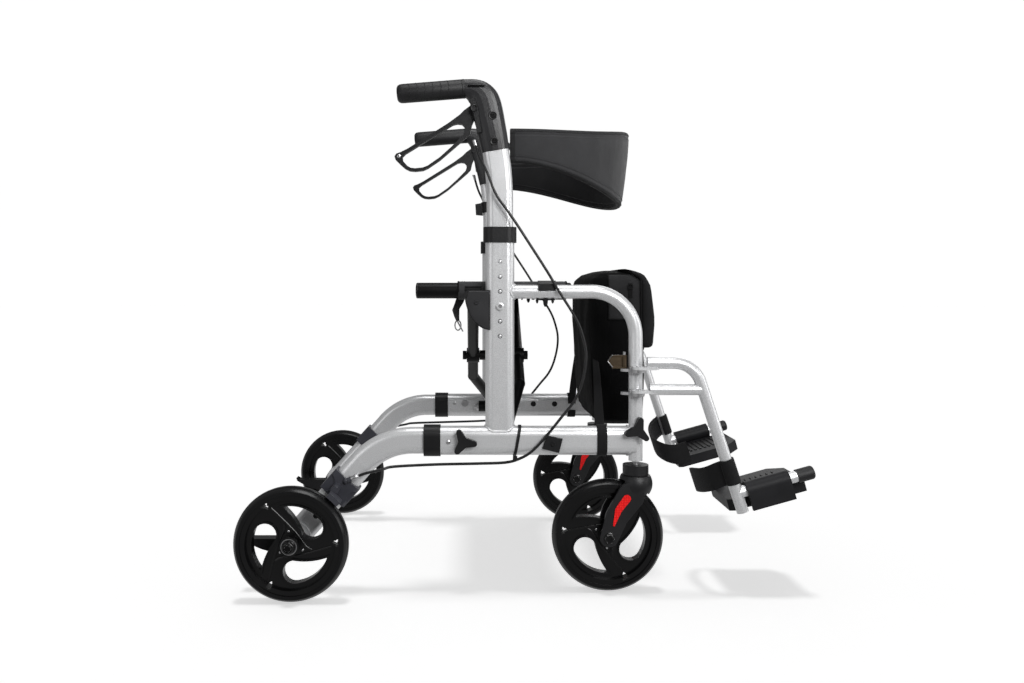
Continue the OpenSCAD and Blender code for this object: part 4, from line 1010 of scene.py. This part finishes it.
def handle_clip():
    """Clip round the far handle tube, with a boss behind it."""
    low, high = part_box("handle_tube_left")
    radius = (high[1] - low[1]) * 500
    section = ((0.3, -0.4, 720), (2.6, -0.4, 720.4), (2.8, -2.0, 744.4), (0.3, -2.0, 744.8))
    clip = Shape()
    rings = []
    for a in turns(48):
        out = Vector((cos(a), sin(a), 0))
        c = Vector((apart(cos(a), 12), -SIDE_Y, 0)) + out * radius
        rings.append([c + out * h + Vector((lean, 0, z)) for h, lean, z in section])
    clip.loft(rings)
    clip.plate([(-42.7, 739.6), (-29.3, 742.2), (-26.2, 744.6), (-24.6, 713.3), (-41.0, 714.9)],
               -250, -234, 1.2)
    clip.make("handle_clip", PLASTIC, "handle_left", "black_plastic", 1)


handle_clip()


def weld_beads():
    """Uneven beads: seat rail to upright, upright to side rail, side rail to front tube."""
    beads = Shape()
    seat_ring, foot_ring, front_ring = [], [], []
    for a in turns(48):
        y = 12.6 * cos(a)
        seat_ring.append((12.4 + sqrt(14 ** 2 - y * y), y - SIDE_Y, 536 + 12.6 * sin(a)))
    for a in turns(72):
        y = 14 * sin(a)
        u = 14 * cos(a) + apart(cos(a), 12)
        foot_ring.append((u, y - SIDE_Y, 279.4 + sqrt(16 ** 2 - y * y)))
        y = 14.2 * cos(a)
        u = STEM_U - sqrt(max(0.0, 16.4 ** 2 - y * y)) + 0.6
        z = 15.9 * sin(a) + apart(sin(a), RAIL_FLAT)
        front_ring.append((u, y - SIDE_Y, RAIL_Z + z))
    for ring, radius in ((seat_ring, 2.1), (foot_ring, 2.0), (front_ring, 1.9)):
        beads.tube(ring, radius, 8, 0.35)
    beads.pair("weld_beads", SILVER, "frame", "silver_tube")


def hole_plugs():
    plugs, backs = Shape(), Shape()
    for z in (456.8, 483.4, 536.6, 563.2, 589.8):
        hole = (0, UPRIGHT_FACE, z)
        plugs.lathe([(2.9, -3.8), (2.9, -0.7), (2.3, -0.2), (1.0, 0.0)], hole, OUTWARD, 20)
        backs.lathe([(5.0, -5.2), (5.0, -3.4), (4.0, -3.2)], hole, OUTWARD, 20)
    backs.pair("hole_backs", RECESS, "frame", "black_plastic")
    plugs.lathe([(6.8, -2.6), (6.8, 0.1), (6.0, 0.6), (3.6, 0.6), (3.0, -0.4)],
                (0, face_y("frame_fasteners_right", 0, 510), 510), OUTWARD, 28)
    plugs.pair("hole_plugs", SILVER, "frame", "silver_tube")


def guard_face():
    face = Shape()
    outline = [(-18 - 44.5 * cos(a), 539 - 69.5 * sin(a))
               for a in (radians(14 + 3.7 * k) for k in range(21))]
    face.plate(outline + [(-19.5, 470), (-19.5, 537.4), (-56, 537.4)], -260.0, -257, 1.2)
    bolt(face, (-42.2, -259.6, 517.2), 4.2, 2.4)
    face.pair("guard_face", ELBOW, "frame", "black_plastic")


def frame_clips():
    """Leg bolt, pegs under the seat rail, cable clip, cable tie and washers."""
    dark = Shape()
    bolt(dark, (-328, face_y("rear_leg_right", -328, 137), 137), 5.0, 3.0)
    for u, out, wide in ((67, 6, 2.4), (82, 12, 4.5), (95, 6, 2.4)):
        dark.loft([[(u + a * wide * share, b * 5 * share - SIDE_Y, z) for a, b in
                    ((-1, -1), (1, -1), (1, 1), (-1, 1))]
                   for z, share in ((523, 1), (521 - out * 0.6, 0.8), (521 - out, 0.35))])
    dark.plate([(83, 281), (111, 275), (104.5, 249.6), (75, 257)], -264.5, -256, 1.2)
    bolt(dark, (94, -264.5, 266), 4.2, 2.6)
    rings = []
    for c, out in round_rail(31, 16.6, 60):
        c.x += (c.z - RAIL_Z) * 0.18
        rings.append([c + Vector((s * 2.9, 0, 0)) + out * h
                      for s, h in ((-1, -0.4), (-0.9, 1.3), (0.9, 1.3), (1, -0.4))])
    dark.loft(rings)
    dark.plate([(22.5, 235), (30, 235), (30.5, 244), (22.8, 244.5)], -263, -257, 0.8)
    for u in (92.6, 142.2):
        y = face_y("side_rail_right", u, 273, 0.0, -1)
        dark.lathe([(6.2, -0.4), (6.2, 0.5), (5.0, 0.9), (4.4, 0.2)], (u, y, 273), (0, 1, 0), 22)
    dark.pair("frame_clips", PLASTIC, "frame", "black_plastic")


def frame_rivets():
    steel = Shape()
    steel.lathe([(4.2, -0.4), (4.0, 0.8), (2.4, 1.8), (0.8, 2.1)],
                (-92.8, face_y("side_rail_right", -92.8, 268.7), 268.7), OUTWARD, 22)
    for u, r in ((-91, 4.4), (-67, 8.5)):
        y = face_y("side_rail_right", u, 275, 0.0, -1)
        steel.lathe([(r, -0.4), (r, 0.6), (r * 0.7, 1.2), (r * 0.3, 1.3)], (u, y, 275),
                    (0, 1, 0), 22)
    steel.pair("frame_rivets", STEEL, "frame", "steel")


def latch_edge():
    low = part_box("latch_lever_right")[0]
    rear, base = low[0] * 1000 + MID * 1000, low[2] * 1000
    edge = [(rear + u, -244, base + z) for u, z in ((11, 0.8), (1, 13), (8, 23.2), (30, 23.2))]
    Shape().tube(edge, 1.1, 8).pair("latch_edge", STEEL, "latch", "steel")


def hinge_bolts():
    tabs, plates = Shape(), Shape()
    for z in (351.5, 393.0):
        tabs.lathe([(2.6, -6.0), (3.8, -5.4), (3.8, -2.2), (4.2, -1.6), (4.2, 6.4), (3.8, 7.0),
                    (3.8, 10.0), (2.6, 10.6)], (234, -256, z), (0, 0, 1), 20)
        plates.lathe([(5.8, 4.8), (5.8, 11.0), (4.4, 11.6), (4.4, 14.6), (3.0, 15.2)],
                     (268, -HANGER_Y, z), (0, 0, 1), 20)
    tabs.pair("hinge_tab_bolts", STEEL, "frame", "steel")
    plates.pair("hinge_plate_bolts", STEEL, "hanger", "steel")


weld_beads()
hole_plugs()
guard_face()
frame_clips()
frame_rivets()
latch_edge()
hinge_bolts()


def seat_strap():
    """Short strap with a wire hook that hangs under the rear of the seat."""
    web, hook = Shape(), Shape()
    rings = []
    for u, y, z, turn in ((-70, -196, 527, 0), (-74, -197, 515, 10), (-80, -199, 503, 35),
                          (-78, -201, 490, 60), (-76, -203, 482, 75)):
        a = radians(turn)
        c = Vector((u, y, z))
        wide = Vector((cos(a), -sin(a), 0.15)) * 8.5
        thin = Vector((sin(a), cos(a), 0))
        rings.append([c + wide * s + thin * h for s, h in
                      ((-1, 0), (-0.9, 1), (0.9, 1), (1, 0), (0.9, -1), (-0.9, -1))])
    web.loft(rings)
    web.make("seat_strap", WEBBING, "cross_rear", "black_fabric", angle=60)
    loop = [(-76 + 5.5 * sin(a), -203, 474 + 9 * cos(a))
            for a in turns(20)[:-1]]
    hook.tube(loop + [(-67, -203, 463)], 1.3, 8)
    hook.make("seat_hook", STEEL, "cross_rear", "steel")


seat_strap()


# Stage

def backdrop():
    """White floor that takes shadows, inside a white dome that only the camera sees."""
    white = (1, 1, 1, 1)
    bpy.ops.mesh.primitive_plane_add(size=60, location=(0, 0, 0))
    floor = bpy.context.object
    floor.name = "floor"
    bpy.ops.mesh.primitive_uv_sphere_add(segments=48, ring_count=24, radius=29)
    dome = bpy.context.object
    dome.name = "white_dome"
    for obj, name, values, hidden in (
        (floor, "floor_paint", {"Base Color": (0.9, 0.9, 0.9, 1), "Roughness": 0.9,
                                "Specular IOR Level": 0.0, "Emission Color": white,
                                "Emission Strength": 0.60}, ("diffuse", "glossy")),
        (dome, "white_card", {"Base Color": (0, 0, 0, 1), "Emission Color": white,
                              "Emission Strength": 1.0},
         ("diffuse", "glossy", "transmission", "volume_scatter", "shadow")),
    ):
        mat, _, bsdf = new_material(name)
        set_inputs(bsdf, values)
        obj.data.materials.append(mat)
        for ray in hidden:
            setattr(obj, "visible_" + ray, False)
    return floor


def studio(scene):
    """Surroundings that are brighter below than above, and dimmer on the camera's side."""
    world = bpy.data.worlds.new("studio")
    scene.world = world
    world.use_nodes = True
    tree = world.node_tree
    background = tree.nodes["Background"]
    coords = add(tree, "ShaderNodeTexCoord")
    parts = add(tree, "ShaderNodeSeparateXYZ")
    tree.links.new(coords.outputs["Generated"], parts.inputs["Vector"])
    height = add(tree, "ShaderNodeMapRange")
    set_inputs(height, {"From Min": -1.0})
    tree.links.new(parts.outputs["Z"], height.inputs["Value"])
    sky = ramp(tree, height.outputs["Result"], [(0.42, (0.52,) * 3), (0.56, (0.22,) * 3)])
    tree.links.new(sky, background.inputs["Color"])
    front = add(tree, "ShaderNodeMapRange")
    set_inputs(front, {"From Min": -1.0, "From Max": 0.1, "To Min": 0.35, "To Max": 1.1})
    tree.links.new(parts.outputs["Y"], front.inputs["Value"])
    tree.links.new(front.outputs["Result"], background.inputs["Strength"])
    scene.view_settings.view_transform = "Standard"


def place_lights(floor):
    """A sun for the floor alone, and soft lights for everything else."""
    ground = bpy.data.collections.new("ground")
    ground.objects.link(floor)
    others = bpy.data.collections.new("all_but_ground")
    others.objects.link(floor)
    others.collection_objects[0].light_linking.link_state = "EXCLUDE"
    sun = bpy.data.lights.new("overhead", "SUN")
    sun.energy = 0.8
    sun.angle = radians(8)
    lamp = new_object("overhead", sun)
    lamp.light_linking.receiver_collection = ground
    target = Vector((0, 0, 0.45))
    for name, place, size, energy in (
        ("key", (1.3, -2.8, 1.8), 1.5, 74), ("fill", (-1.8, -2.2, 1.0), 1.5, 7),
        ("side", (2.8, -0.6, 1.0), 1.4, 12), ("top", (0.1, -0.5, 2.8), 1.3, 24),
        ("back", (1.2, 2.4, 1.8), 1.6, 14),
    ):
        light = bpy.data.lights.new(name, "AREA")
        light.size = size
        light.energy = energy
        obj = new_object(name, light)
        obj.location = place
        obj.rotation_euler = (target - Vector(place)).to_track_quat("-Z", "Y").to_euler()
        obj.light_linking.receiver_collection = others


def place_camera(scene):
    camera = bpy.data.cameras.new("camera")
    camera.lens = 30.83
    camera.sensor_width = 36
    camera.shift_x = 0.0385
    camera.shift_y = -0.0513
    eye = new_object("camera", camera)
    eye.location = (-0.049 - MID, -1.819, 0.541)
    eye.rotation_euler = (pi / 2, 0, 0)
    scene.camera = eye


floor = backdrop()
studio(bpy.context.scene)
place_lights(floor)
place_camera(bpy.context.scene)
